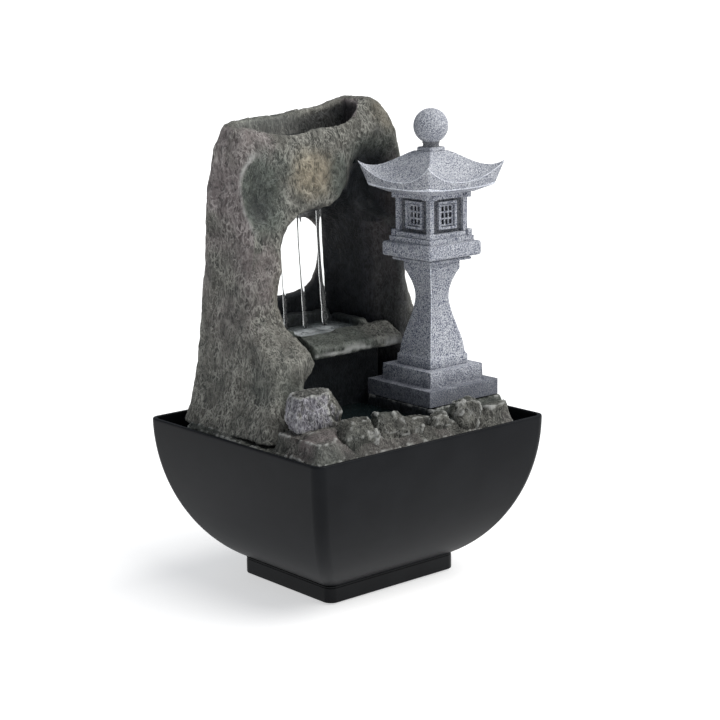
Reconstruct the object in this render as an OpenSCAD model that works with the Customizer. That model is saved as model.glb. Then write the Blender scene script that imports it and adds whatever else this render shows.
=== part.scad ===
// Tabletop rock-arch water fountain with a stone lantern.
// Millimetres, +Z up, origin at the centre of the rest plane under the foot.
// The long side of the bowl runs along X, the front is -Y.

/* [Bowl] */
// Width of the bowl across its rim
bowl_w = 160; // [158:1:164]
// Depth of the bowl across its rim
bowl_d = 146; // [145:1:150]
// Height of the rim above the table
rim_z = 88.5; // [88:0.5:90]
// Wall thickness of the bowl
bowl_wall = 2.4; // [2:0.1:2.4]
// Radius of the bowl's upright corners
corner_r = 6; // [5:0.5:8]

/* [Foot] */
// Width of the foot
foot_w = 90; // [86:1:94]
// Depth of the foot
foot_d = 75; // [71:1:79]
// Height of the foot's top above the table
foot_z = 10; // [9.5:0.5:10]

/* [Rock] */
// X of the tube passage in the left pillar
tube_x = -50; // [-51:0.5:-49]
// Y of the tube passage in the left pillar
tube_y = 18; // [17:0.5:20]
// Height of the upper basin's floor
basin_z = 222; // [220:1:224]
// Height of the top of the rock base's deck
deck_z = 88; // [87.5:0.5:88]

/* [Lantern] */
// X of the lantern's centre
lan_x = 41; // [40:0.5:42]
// Y of the lantern's centre
lan_y = -24.5; // [-26:0.5:-24.5]
// Half width of the lantern's platform
plat_h = 19.1; // [18:0.1:20]
// Radius of the ball on the roof
ball_r = 9.3; // [8:0.1:9.6]

/* [Pump] */
// X of the pump's rotor axis
pump_x = -18; // [-19:0.5:-17]
// Height of the pump's rotor axis
pump_z = 33; // [33:0.1:33.2]
// Outside diameter of the riser tube
tube_od = 10; // [9.6:0.1:10.4]
// Inside diameter of the riser tube
tube_id = 8; // [7.6:0.1:8.2]

/* [Hidden] */
e = 0.01;
floor_z = 12.5;
c_bowl = [0.16, 0.17, 0.18];
c_foot = [0.12, 0.12, 0.13];
c_pump = [0.1, 0.1, 0.11];
c_rock = [0.33, 0.34, 0.30];
c_mauve = [0.38, 0.34, 0.38];
c_stone = [0.66, 0.69, 0.74];

// how far the side of the bowl has drawn in at a height z
function inset(z) = 50 * (1 - sqrt(1 - pow((rim_z + 0.2 - z) / 82, 2)));
bowl_levels = [foot_z, 11.5, 13.5, 16, 20, 25, 31, 38, 46, 56, 68, 79, rim_z];

// a thin level with rounded corners, given by its corner posts
module level(pts, z, r = 5, fn = 24) { for (p = pts) translate([p[0], p[1], z]) cylinder(r = r, h = 0.2, $fn = fn); }
// the corner posts of a rectangle, drawn in by the corner radius
function rect(x0, x1, y0, y1, r = 5) = [[x0 + r, y0 + r], [x1 - r, y0 + r], [x1 - r, y1 - r], [x0 + r, y1 - r]];

// ---------------------------------------------------------------- bowl
module bowl_shape(off, levels) {
  hull() for (z = levels) {
    hx = bowl_w / 2 - inset(z) - off; hy = bowl_d / 2 - inset(z) - off; r = max(corner_r - off * 0.6, 2);
    for (sx = [-1, 1], sy = [-1, 1]) translate([sx * (hx - r), sy * (hy - r), z]) cylinder(r = r, h = e, $fn = 32);
  }
}
module bowl() color(c_bowl) difference() {
  union() {
    difference() {
      bowl_shape(0, bowl_levels);
      bowl_shape(bowl_wall, [floor_z, 14, 16.5, 20, 25, 31, 38, 46, 56, 68, 79, rim_z + 1]);
    }
    // flat pad inside the rear wall, round the notch for the pump lead
    translate([grom_x - 8.4, grom_y - 3.5, 60]) cube([16.8, 2.3, 11]);
    translate([grom_x - 8.4, grom_y - 3.5, 70]) cube([16.8, 3.5, rim_z + e - 70]);
  }
  // flat seat outside, and the notch, open at the rim
  translate([grom_x - 6.9, grom_y, 65.1]) cube([13.8, 12, 40]);
  translate([grom_x - 4.6, grom_y - 8, 67.4]) cube([9.2, 20, 40]);
}
module bowl_foot() color(c_foot) difference() {
  r = 4;
  translate([0, 0, 0.8]) linear_extrude(foot_z - 0.8) foot_outline(0);
  // hollow underneath, with a cross rib
  difference() {
    translate([0, 0, 0.7]) linear_extrude(foot_z - 3.2) foot_outline(3);
    translate([-1.2, -foot_d, 0]) cube([2.4, foot_d * 2, foot_z]);
    translate([-foot_w, -1.2, 0]) cube([foot_w * 2, 2.4, foot_z]);
    for (sx = [-1, 1], sy = [-1, 1]) translate([sx * (foot_w / 2 - 9), sy * (foot_d / 2 - 9), 0]) cylinder(r = 7.4, h = foot_z, $fn = 40);
  }
  // seats of the four pads
  for (sx = [-1, 1], sy = [-1, 1]) translate([sx * (foot_w / 2 - 9), sy * (foot_d / 2 - 9), 0]) cylinder(r = 5.5, h = 2, $fn = 40);
}
module foot_outline(off) {
  r = 5 - off * 0.5; hx = foot_w / 2 - off; hy = foot_d / 2 - off;
  union() {
    square([2 * (hx - r), 2 * hy], center = true);
    square([2 * hx, 2 * (hy - r)], center = true);
    for (sx = [-1, 1], sy = [-1, 1]) translate([sx * (hx - r), sy * (hy - r)]) circle(r = r, $fn = 32);
  }
}
module foot_pads() color([0.06, 0.06, 0.06]) for (sx = [-1, 1], sy = [-1, 1])
  translate([sx * (foot_w / 2 - 9), sy * (foot_d / 2 - 9), 0]) union() {
    cylinder(r1 = 4.9, r2 = 5.4, h = 0.6, $fn = 40);
    translate([0, 0, 0.6]) cylinder(r = 5.4, h = 1.4, $fn = 40);
  }
grom_x = 34; grom_z = 72;
// plane of the flat seat outside the wall
grom_y = bowl_d / 2 - 2.3;
// rubber plug with grooved sides that slides down into the notch; its bore passes the pump lead
module lead_grommet() color([0.07, 0.07, 0.07]) difference() {
  translate([grom_x, grom_y, 0]) union() {
    translate([-4.55, -3.6, 67.45]) cube([9.1, 3.7, rim_z - 67.45]);
    translate([-6.4, -4.7, 65.9]) cube([12.8, 1.2, rim_z - 65.9]);
    translate([-6.4, 0, 65.6]) cube([12.8, 0.9, rim_z - 65.6]);
    translate([-5.9, 0.8, 66.1]) cube([11.8, 0.3, rim_z - 66.1 - 0.5]);
  }
  along_y(grom_x, grom_y - 8, grom_z) cylinder(r = 2.6, h = 16, $fn = 48);
}

// ---------------------------------------------------------------- pump
py0 = -6; py1 = 22;         // front and back of the housing
nozzle_dx = -7.5; nozzle_y = -1.5; nozzle_top = 55;
module along_y(x, y, z) { translate([x, y, z]) rotate([-90, 0, 0]) children(); }
module pump_housing() color(c_pump) difference() {
  union() {
    difference() {
      translate([pump_x - 16, py0, 14.5]) cube([32, py1 - py0, 32.5]);
      // pocket of the windings, open to the back
      translate([pump_x - 14, 4.2, 15.8]) cube([28, 20, 26.2]);
    }
    along_y(pump_x, 3, pump_z) cylinder(r = 7.6, h = 17, $fn = 64);
    // outlet nozzle
    translate([pump_x + nozzle_dx, nozzle_y, 46]) cylinder(r = tube_id / 2 - 0.05, h = nozzle_top - 46, $fn = 48);
  }
  // pump chamber, rotor well and bush socket
  along_y(pump_x, py0 - 1, pump_z) cylinder(r = 11, h = 10, $fn = 64);
  along_y(pump_x, 2, pump_z) cylinder(r = 6.5, h = 15, $fn = 64);
  along_y(pump_x, 16, pump_z) cylinder(r = 2.4, h = 3, $fn = 48);
  // outlet passage
  translate([pump_x + nozzle_dx, nozzle_y, pump_z]) cylinder(r = 2.6, h = 40, $fn = 40);
}
module stator_core() color([0.55, 0.55, 0.57]) union() {
  translate([pump_x - 13, 7, 18]) cube([26, 10, 5]);
  for (s = [-1, 1]) translate([pump_x + s * 10.4 - 2.5, 7, 18]) cube([5, 10, 22]);
}
module stator_coil() color([0.75, 0.42, 0.2]) difference() {
  translate([pump_x - 7.4, 4.8, 16.1]) cube([14.8, 14.4, 8.9]);
  translate([pump_x - 8, 6.9, 17.9]) cube([16, 10.2, 5.2]);
}
module pump_back_cap() color(c_pump) union() {
  translate([pump_x - 13.9, 20.2, 15.9]) cube([27.8, 1.8, 26]);
  // closed boss where the lead was potted in
  along_y(pump_x + 8, 21.9, 37) cylinder(r = 3.6, h = 4.1, $fn = 40);
}
module rotor_shaft() color([0.8, 0.8, 0.82]) along_y(pump_x, -7.8, pump_z) cylinder(r = 1, h = 26.6, $fn = 40);
module shaft_bushes() color([0.05, 0.05, 0.05]) for (b = [[-8, 2, 1.9], [17.05, 1.9, 2.38]])
  along_y(pump_x, b[0], pump_z) difference() {
    cylinder(r = b[2], h = b[1], $fn = 40);
    translate([0, 0, -1]) cylinder(r = 1, h = b[1] + 2, $fn = 40);
  }
// front wall of the pump chamber, with its inlet and a three-armed bush carrier
module volute_plate() color([0.14, 0.14, 0.15]) along_y(pump_x, -8, pump_z) difference() {
  union() {
    difference() { cylinder(r = 12, h = 2, $fn = 64); translate([0, 0, -1]) cylinder(r = 5.2, h = 4, $fn = 48); }
    for (a = [0, 120, 240]) rotate([0, 0, a]) translate([2, -0.8, 0]) cube([4.5, 1.6, 2]);
    cylinder(r = 3.2, h = 2, $fn = 48);
  }
  translate([0, 0, -1]) cylinder(r = 1.92, h = 4, $fn = 40);
}
module suction_cups() color([0.08, 0.08, 0.08]) for (sx = [-1, 1], y = [0, 16])
  translate([pump_x + sx * 10.5, y, floor_z]) union() {
    cylinder(r1 = 5, r2 = 3, h = 1.4, $fn = 40);
    translate([0, 0, 1.3]) cylinder(r = 2.4, h = 0.7, $fn = 32);
  }
module impeller_wheel() color([0.86, 0.86, 0.84]) along_y(pump_x, 0, pump_z) difference() {
  union() {
    translate([0, 0, -5.4]) cylinder(r = 2.6, h = 21.6, $fn = 48);
    translate([0, 0, 1]) cylinder(r = 9.6, h = 1.2, $fn = 64);
    for (a = [0:60:300]) rotate([0, 0, a]) translate([2, -0.6, -4]) cube([7.2, 1.2, 5.4]);
  }
  translate([0, 0, -8]) cylinder(r = 1.06, h = 30, $fn = 40);
}
module rotor_magnet() color([0.2, 0.2, 0.22]) along_y(pump_x, 3.6, pump_z) difference() {
  cylinder(r = 5.9, h = 12.2, $fn = 64);
  translate([0, 0, -1]) cylinder(r = 2.6, h = 15, $fn = 48);
}
// slotted intake cover that pulls off the front of the pump
module strainer_cover() color([0.13, 0.13, 0.14]) difference() {
  union() {
    difference() {
      translate([pump_x - 14.2, -20, 18.8]) cube([28.4, 13.6, 28.2]);
      translate([pump_x - 12.6, -18.4, 20.4]) cube([25.2, 13, 25]);
    }
    // headed stud that carries the flow dial
    along_y(pump_x, -22.4, pump_z) cylinder(r = 1.5, h = 3, $fn = 40);
    along_y(pump_x, -23.4, pump_z) cylinder(r = 2.8, h = 1, $fn = 40);
  }
  // four intake holes behind the dial
  for (a = [0:90:270]) along_y(pump_x, -21, pump_z) rotate([0, 0, a]) translate([5.5, 0, 0]) cylinder(r = 1.8, h = 4, $fn = 32);
  // side slots
  for (k = [0:4]) translate([pump_x - 20, -17.2, 23 + k * 4.6]) cube([40, 8, 1.8]);
}
module flow_dial() color([0.3, 0.3, 0.32]) along_y(pump_x, -22.05, pump_z) difference() {
  union() {
    cylinder(r = 8.2, h = 1.7, $fn = 64);
    for (a = [0:30:330]) rotate([0, 0, a]) translate([8.1, 0, 0]) cylinder(r = 0.8, h = 1.7, $fn = 16);
  }
  translate([0, 0, -1]) cylinder(r = 1.56, h = 4, $fn = 40);
  for (a = [0:90:270]) rotate([0, 0, a]) translate([5.5, 0, -1]) cylinder(r = 1.8, h = 4, $fn = 32);
}

// ---------------------------------------------------------------- rock base
base_outline = [[-70, -63], [54, -63], [66, -48], [66, 34], [58, 50], [-60, 51], [-70, 42]];
module base_level(z, off) { level([for (p = base_outline) [p[0] + (p[0] > 0 ? -off : off), p[1] + (p[1] > 0 ? -off : off)]], z, 5.4); }
module rock_base() color(c_rock) difference() {
  union() {
    hull() { base_level(70, 0.6); base_level(deck_z - 0.2, 0); }
    // raised edge round the lower pool
    hull() { level(rect(-75, -54, -68, -28, 5), deck_z - 1); level(rect(-71, -56, -62, -28, 5), 97); }
    hull() { level(rect(-60, -33, -53, -28, 5), deck_z - 1); level(rect(-60, -35, -51, -28, 5), 97); }
    hull() { level(rect(-66, 58, -68, -50, 5), deck_z - 1); level(rect(-60, 54, -64, -53, 4), 90); }
    hull() { level(rect(-50, 16, -56, -44, 4), deck_z - 1); level(rect(-46, 14, -53, -47, 3), 97); }
    // pad that the lantern stands on
    hull() { level(rect(13, 69, -56, 1.4, 3), deck_z - 1, 3); level(rect(14.5, 68, -52, 1.2, 3), 98, 3); }
    // low shoulders at the right and behind
    hull() { level(rect(56, 71, -46, 40, 4), deck_z - 1); level(rect(60, 69, -40, 36, 4), 92); }
    hull() { level(rect(40, 60, -68, -52, 4), deck_z - 1); level(rect(44, 58, -64, -52, 4), 96); }
    hull() { level(rect(-74, -68, 6, 46, 2.6), deck_z - 1); level(rect(-73.6, -69, 8, 44, 2), 90); }
    hull() { level(rect(-75, -64, -30, -20, 4), deck_z - 1); level(rect(-74, -67, -33, -29, 2), 92); }
  }
  // seats of the tower's two feet
  hull() left_foot();
  hull() right_foot();
  // hollow under the deck
  hull() { for (z = [69, 79.8]) base_level(z, 5); }
  // slot for the riser tube and drains from the pool
  hull() { translate([tube_x, tube_y, 70]) cylinder(r = 7.5, h = 40, $fn = 40); translate([tube_x + 8, tube_y - 7, 70]) cylinder(r = 7.5, h = 40, $fn = 40); }
  for (p = [[-16, -30], [-4, -34], [-24, -20]]) translate([p[0], p[1], 70]) cylinder(r = 3, h = 40, $fn = 32);
}
leg_pos = [[39, 32], [-39, 32], [39, -32], [-39, -32]];
module support_legs() color([0.2, 0.2, 0.2]) for (p = leg_pos) translate([p[0], p[1], 14.3]) difference() {
  union() { cylinder(r1 = 3.6, r2 = 4.6, h = 65.5, $fn = 40); }
  translate([0, 0, -1]) cylinder(r = 1.6, h = 7, $fn = 32);
}
module leg_bumpers() color([0.06, 0.06, 0.06]) for (p = leg_pos) translate([p[0], p[1], 0]) union() {
  translate([0, 0, 12.8]) cylinder(r1 = 4.1, r2 = 4.5, h = 1.5, $fn = 40);
  translate([0, 0, 14]) cylinder(r = 1.55, h = 5, $fn = 32);
}

// ---------------------------------------------------------------- rock tower
module left_foot() { level([[-69, -21], [-41, -20], [-40, 44], [-68, 49]], deck_z, 5); level([[-60, -20], [-41, -18], [-40, 44], [-60, 48]], 100, 5); }
module right_foot() { level([[24, 41], [42, 14], [57, 13], [58, 42]], deck_z, 5); level([[24, 41], [42, 14], [54, 14], [54, 42]], 136, 5); }
module tower_mass() {
  // broad foot of the left pillar, which reaches forward and ends in an elbow
  hull() left_foot();
  hull() { level([[-60, -20], [-41, -18], [-40, 44], [-60, 48]], 99.9, 5); level([[-58, -16], [-40, -16], [-40, 44], [-58, 47.5]], 116, 5); }
  hull() { level([[-58, -14], [-42, -16], [-40, 44], [-58, 47.5]], 115, 5); level([[-57, 5], [-44, 4], [-43, 43], [-57, 45]], 143, 5); }
  hull() { level([[-52, -14], [-36, -14], [-34, 0], [-50, 2]], 112, 4); level([[-50, -9], [-32, -9], [-32, 0], [-48, 2]], 122, 4); level([[-52, 2], [-44, 2], [-44, 10], [-52, 10]], 142, 4); }
  // left pillar
  hull() { level([[-57, 5], [-44, 5], [-43, 43], [-57, 45]], 143, 5); level([[-56, 6], [-43, 5], [-42, 38], [-55, 40]], 190, 5); }
  hull() { level([[-56, 6], [-43, 5], [-42, 38], [-55, 40]], 189.9, 5); level([[-55.5, 6], [-36, 5], [-36, 35], [-54, 37]], 206, 5); level([[-55, 7], [-36, 6], [-36, 34], [-53, 31]], 228, 5); level([[-52, 9], [-36, 8], [-36, 30], [-50, 26]], 245, 4); }
  // beam over the arch
  hull() { level([[-37, 5], [-36, 35]], 197, 4); level([[-36, 5], [-14, 5], [-14, 36], [-36, 36]], 208, 4); level([[-36, 6], [-14, 7], [-14, 36], [-36, 32]], 236, 4); level([[-40, 9], [-14, 10], [-14, 34], [-40, 29]], 243, 3); }
  hull() { level([[-15, 5], [12, 6], [12, 38], [-15, 36]], 209, 4); level([[-15, 7], [12, 9], [12, 38], [-15, 36]], 236, 4); level([[-15, 10], [12, 13], [12, 36], [-15, 34]], 244, 3); }
  hull() { level([[11, 9], [26, 12], [30, 40], [11, 38]], 211, 4); level([[11, 9], [34, 13], [36, 40], [11, 38]], 236, 4); level([[11, 13], [34, 18], [36, 38], [11, 36]], 250, 3); }
  hull() { level([[22, 14], [43, 12], [44, 40], [22, 40]], 205, 4); level([[24, 14], [43, 14], [43, 40], [24, 40]], 236, 4); level([[30, 20], [41, 20], [42, 36], [30, 37]], 253, 3); level([[35, 23], [39, 23], [39, 34], [34, 34]], 257, 2); }
  // right pillar
  hull() { level([[24, 40], [40, 14], [46, 13], [46, 41]], 158, 5); level([[24, 40], [38, 14], [44, 13], [44, 40]], 212, 5); }
  hull() { right_foot(); level([[24, 40], [42, 15], [46, 15], [46, 41]], 160, 5); }
  // low wall behind the middle basin
  hull() { level([[-41, 44], [24, 44], [24, 47], [-41, 47]], deck_z, 3); level([[-41, 43], [24, 43], [24, 45], [-41, 45]], 146, 3); }
  hull() { level([[4, 43], [24, 43]], 146, 3.4); level([[19, 42], [25, 42]], 176, 3); }
}
module rock_tower() color(c_rock) difference() {
  tower_mass();
  // long basin in the top
  hull() { level(rect(-48, 24, 14, 30, 5), basin_z); level(rect(-50, 30, 13, 33, 5), 262); }
  hull() { level(rect(14, 34, 18, 33, 5), 236); level(rect(16, 36, 19, 32, 5), 262); }
  // passage of the riser tube
  translate([tube_x, tube_y, deck_z - 1]) cylinder(r = 5.8, h = 150, $fn = 48);
  hull() { translate([tube_x, tube_y, deck_z - 1]) cylinder(r = 7.2, h = 16, $fn = 40); translate([tube_x + 5, tube_y - 4, deck_z - 1]) cylinder(r = 7.2, h = 5, $fn = 40); }
  // holes of the three spouts
  for (s = spouts) translate([s[0], s[1], 180]) cylinder(r = 2.9, h = 50, $fn = 32);
  translate([spouts[0][0] - 5.5, spouts[0][1] - 4.4, basin_z - 2]) cube([spouts[2][0] - spouts[0][0] + 11, 8.8, 6]);
  // hollow inside the right pillar, open to the deck
  hull() { level([[34, 37], [44, 22], [50, 22], [50, 37]], deck_z - 1, 2); level([[34, 36], [42, 22], [42, 22], [42, 36]], 190, 2); }
}
// cast shelf with the middle basin and its spill lip
module cascade_shelf() color(c_rock) difference() {
  union() {
    hull() { level([[-30, 8], [26, 8], [22, 30], [14, 38], [-30, 38]], deck_z, 3); level([[-31, 8], [27, 8], [22, 30], [16, 36], [-31, 38]], 130, 3); }
    hull() { level([[-21, 0], [31, 0], [31, 6], [-21, 7]], 123, 3); level([[-21, -8], [30, -8], [32, 6], [-21, 7]], 130, 3); level([[-21, -7], [31, -7], [32, 4], [-21, 4]], 133, 2); }
    hull() { level([[-26, 4], [31, 4], [31, 6.5], [-26, 8]], 130, 2.6); level([[-26, 5], [31, 5], [31, 6.5], [-26, 8]], 136.4, 2); }
    hull() { level([[-16, 5.6], [26, 5.6], [26, 8], [-16, 8]], deck_z, 4); level([[-18, 5], [28, 5], [28, 8], [-18, 8]], 124, 4); }
    for (x = [-30, 20]) hull() { level([[x, 10], [x, 34]], 129, 2); level([[x, 10], [x, 34]], 138, 2); }
    hull() { level([[-28, 36], [17, 36]], 129, 3.5); level([[-28, 36], [14, 36]], 140, 3); }
  }
  hull() { level(rect(-27, 16, 11.5, 31.5, 4), 122); level(rect(-27.5, 17, 11.2, 32, 4), 145); }
  // notch that lets the basin spill over the lip
  translate([-8, 2, 134.4]) cube([22, 11, 6]);
  tower_mass();
}

// ---------------------------------------------------------------- loose boulders
// a rough block: top and bottom outlines of its own, joined
module rough(bottom, mid, top, z0, z1, z2, r = 2.2) { hull() { level(bottom, z0, r, 16); level(mid, z1, r + 0.6, 16); level(top, z2, r, 16); } }
module boulder_left() color(c_mauve) rough([[-61, -43], [-42, -44], [-39, -33], [-60, -32]], [[-62, -42], [-41, -43], [-38, -33], [-61, -32]], [[-57, -39], [-44, -40], [-42, -34], [-57, -34]], 97.2, 106, 114.6);
module boulder_front() color(c_rock) rough([[-50, -63], [-35, -64], [-34, -58.7], [-49, -58.7]], [[-51, -63], [-35, -63], [-34, -58.5], [-50, -58]], [[-47, -61], [-37, -61], [-37, -58.5], [-46, -58.5]], 90.2, 98, 106);
module boulder_slab() color(c_rock) rough([[-28, -63], [-1, -64], [0, -59], [-27, -59]], [[-28, -63], [-2, -63], [-2, -59], [-28, -58.5]], [[-22, -61], [-13, -61], [-14, -58.5], [-22, -58.5]], 90.2, 97, 106);
module boulders_right() color(c_rock) {
  rough([[8, -63], [17, -63], [17, -60], [8, -60]], [[8, -62], [16, -62], [16, -60], [8, -60]], [[10, -61.5], [14, -61.5], [13, -60], [10, -60]], 90.2, 94, 98);
  rough([[25, -64], [36, -64], [36, -60], [25, -60]], [[24, -63], [37, -63], [37, -60], [24, -60]], [[27, -62], [34, -62], [34, -60], [28, -60]], 90.2, 98, 104);
}

// ---------------------------------------------------------------- water path
spouts = [[-28, 18, 194.5], [-16, 18, 201.5], [-2.5, 18, 205]];
module water_spouts() color([0.12, 0.12, 0.12]) difference() {
  union() {
    translate([spouts[0][0] - 5, spouts[0][1] - 4, basin_z]) cube([spouts[2][0] - spouts[0][0] + 10, 8, 2.5]);
    for (s = spouts) translate([s[0], s[1], s[2]]) cylinder(r = 2.5, h = basin_z + 1 - s[2], $fn = 40);
  }
  for (s = spouts) translate([s[0], s[1], s[2] - 1]) cylinder(r = 1.5, h = 60, $fn = 32);
}
// vertical run on the nozzle, an S-bend of two equal arcs, and the long run up the pillar
rs = 13; th = 60;
n_x = pump_x + nozzle_dx; n_y = nozzle_y;
off_d = sqrt(pow(tube_x - n_x, 2) + pow(tube_y - n_y, 2));
off_a = atan2(tube_y - n_y, tube_x - n_x);
run_l = (off_d - 2 * rs * (1 - cos(th))) / sin(th);
z_a = 55.5; z_b = z_a + 2 * rs * sin(th) + run_l * cos(th);
// stations along the hose: distance towards the pillar, height, lean from upright
hose_st = concat([[0, 48.4, 0], [0, 52, 0], [0, z_a, 0]],
  [for (i = [1:6]) let (f = th * i / 6) [rs * (1 - cos(f)), z_a + rs * sin(f), f]],
  [for (i = [6:-1:0]) let (f = th * i / 6) [off_d - rs * (1 - cos(f)), z_b - rs * sin(f), f]],
  [[off_d, z_b + 12, 0]]);
hose_n = 24;
hose_ri = tube_id / 2 + 0.07;
function hose_ring(s, r) = [for (k = [0:hose_n - 1]) let (t = 360 * k / hose_n) [s[0] + r * cos(t) * cos(s[2]), r * sin(t), s[1] - r * cos(t) * sin(s[2])]];
// soft hose from the pump nozzle to the rigid riser pipe
module pump_hose() color([0.8, 0.85, 0.88]) translate([n_x, n_y, 0]) rotate([0, 0, off_a]) {
  ns = len(hose_st); half = ns * hose_n;
  polyhedron(points = concat([for (s = hose_st) each hose_ring(s, tube_od / 2)], [for (s = hose_st) each hose_ring(s, hose_ri)]),
    faces = concat(
      [for (j = [0:ns - 2], k = [0:hose_n - 1]) let (a = j * hose_n + k, b = j * hose_n + (k + 1) % hose_n) [a, a + hose_n, b + hose_n, b]],
      [for (j = [0:ns - 2], k = [0:hose_n - 1]) let (a = half + j * hose_n + k, b = half + j * hose_n + (k + 1) % hose_n) [a, b, b + hose_n, a + hose_n]],
      [for (k = [0:hose_n - 1]) let (k2 = (k + 1) % hose_n) [k, k2, half + k2, half + k]],
      [for (k = [0:hose_n - 1]) let (k2 = (k + 1) % hose_n, o = (ns - 1) * hose_n) [o + k2, o + k, half + o + k, half + o + k2]]), convexity = 6);
}
module riser_pipe() color([0.75, 0.8, 0.83]) translate([tube_x, tube_y, z_b + 2]) difference() {
  cylinder(r = tube_id / 2 - 0.05, h = 231 - z_b - 2, $fn = 48);
  translate([0, 0, -1]) cylinder(r = tube_id / 2 - 1, h = 200, $fn = 48);
}

// ---------------------------------------------------------------- lantern
l0 = 98.2; l1 = 106.9; l2 = 115.4; l3 = 172; l4 = 182.6; l5 = 209;
module at_lantern(z) { translate([lan_x, lan_y, z]) children(); }
// square block with a drawn-in top edge
module sq_block(h, z0, z1, ch = 0.8) { at_lantern(z0) translate([-h, -h, 0]) cube([2 * h, 2 * h, z1 - z0 - ch]); at_lantern(z1 - ch - e) rotate([0, 0, 45]) cylinder(r1 = h * sqrt(2), r2 = (h - ch) * sqrt(2), h = ch + e, $fn = 4); }
module lantern_base() color(c_stone) union() { sq_block(25.1, l0, l1); sq_block(19.4, l1, l2); }
// half width of the waisted pillar at a height z
function waist(z) = z < 118.4 ? 13.6 : z < 151 ? 6.4 + 6.2 * pow((151 - z) / 32.6, 1.7) : 6.4 + 4.5 * pow((z - 151) / 20, 1.5);
pil_z = [l2, 117.9, 118.4, 120, 122, 125, 129, 133, 138, 143, 148, 151, 155, 160, 165, 169.4, 169.5, 171];
function pil_h(i) = i < 2 ? 13.6 : i == 2 ? 12.9 : i > 15 ? 11.3 : waist(pil_z[i]);
module lantern_pillar() color(c_stone) translate([lan_x, lan_y, 0]) polyhedron(
  points = [for (i = [0:len(pil_z) - 1], k = [0:3]) [pil_h(i) * (k == 0 || k == 3 ? -1 : 1), pil_h(i) * (k < 2 ? -1 : 1), pil_z[i]]],
  faces = concat([[0, 1, 2, 3]], [for (i = [0:len(pil_z) - 2], k = [0:3]) [i * 4 + k, (i + 1) * 4 + k, (i + 1) * 4 + (k + 1) % 4, i * 4 + (k + 1) % 4]],
    [[for (k = [3:-1:0]) (len(pil_z) - 1) * 4 + k]]), convexity = 4);
module lantern_platform() color(c_stone) union() { at_lantern(171) translate([-15.3, -15.3, 0]) cube([30.6, 30.6, 4.5]); sq_block(plat_h, 175.4, l4, 1.2); }
module lantern_firebox() color(c_stone) difference() {
  union() {
    sq_block(16, l4, 187.7, 0.8);
    at_lantern(187) translate([-12.4, -12.4, 0]) cube([24.8, 24.8, 20]);
    for (sx = [-1, 1], sy = [-1, 1]) at_lantern(187) translate([sx * 11.6 - 1.9, sy * 11.6 - 1.9, 0]) cube([3.8, 3.8, 20]);
    // crossed top beams whose ends stand out at the corners
    for (s = [-1, 1]) { at_lantern(205.6) translate([-16, s * 11.8 - 1.6, 0]) cube([32, 3.2, l5 - 205.6]); at_lantern(205.6) translate([s * 11.8 - 1.6, -16, 0]) cube([3.2, 32, l5 - 205.6]); }
    at_lantern(206) translate([-13, -13, 0]) cube([26, 26, l5 - 206]);
  }
  // lamp chamber and the four windows
  at_lantern(188.5) translate([-9.6, -9.6, 0]) cube([19.2, 19.2, 17]);
  for (a = [0, 90]) at_lantern(197) rotate([0, 0, a]) translate([-4.9, -20, -7.1]) cube([9.8, 40, 14.2]);
}
module lantern_lattices() color(c_stone) for (a = [0, 90, 180, 270]) at_lantern(197) rotate([0, 0, a]) translate([0, -10.9, 0]) difference() {
  translate([-4.85, -0.8, -7.05]) cube([9.7, 1.6, 14.1]);
  for (i = [-1:1], j = [-1:1]) translate([i * 2.5 - 0.95, -2, j * 3.9 - 1.5]) cube([1.9, 4, 3]);
}
// roof: slopes that are full near the top, hollow lower down, and rise to upturned corners
nu = 10; nt = 8;
function side_pt(k) = let (s = floor(k / nu), u = (k % nu) / nu * 2 - 1) s == 0 ? [u, -1] : s == 1 ? [1, u] : s == 2 ? [-u, 1] : [-1, -u];
function corner_w(k) = pow(abs((k % nu) / nu * 2 - 1), 2.6);
function roof_h(t) = 6.4 + (25.2 - 6.4) * t;
function roof_fall(t) = 1 - pow(1 - t, 1.8) * (1 + 1.2 * t);
function roof_top(t, c) = 230.6 - 14.8 * roof_fall(t) + c * 9.4 * pow(t, 2.4);
function roof_ring(t, k) = let (p = side_pt(k), c = corner_w(k), h = roof_h(t) * (1 + 0.1 * c * t)) [p[0] * h, p[1] * h, roof_top(t, c)];
function eave_low(k) = let (p = side_pt(k), c = corner_w(k), h = 24 - 0.2 * c) [p[0] * h, p[1] * h, 211.8 + 0.9 * c];
function soffit(k) = let (p = side_pt(k)) [p[0] * 16.2, p[1] * 16.2, l5];
module lantern_roof() color(c_stone) translate([lan_x, lan_y, 0]) {
  m = 4 * nu; rings = nt + 3;
  pts = concat([for (j = [0:nt], k = [0:m - 1]) roof_ring(j / nt, k)], [for (k = [0:m - 1]) eave_low(k)], [for (k = [0:m - 1]) soffit(k)], [[0, 0, roof_top(0, 0)], [0, 0, l5]]);
  c_top = rings * m; c_bot = c_top + 1;
  polyhedron(points = pts, faces = concat(
    [for (k = [0:m - 1]) [c_top, (k + 1) % m, k]],
    [for (j = [0:rings - 2], k = [0:m - 1]) [j * m + k, j * m + (k + 1) % m, (j + 1) * m + k]],
    [for (j = [0:rings - 2], k = [0:m - 1]) [j * m + (k + 1) % m, (j + 1) * m + (k + 1) % m, (j + 1) * m + k]],
    [for (k = [0:m - 1]) [c_bot, (rings - 1) * m + k, (rings - 1) * m + (k + 1) % m]]), convexity = 6);
}
module lantern_finial() color(c_stone) union() {
  at_lantern(230.6) translate([-5.3, -5.3, 0]) cube([10.6, 10.6, 2.2]);
  at_lantern(232.8) cylinder(r = 4.6, h = 3.4, $fn = 48);
  at_lantern(243.8) sphere(r = ball_r, $fn = 64);
}

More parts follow.
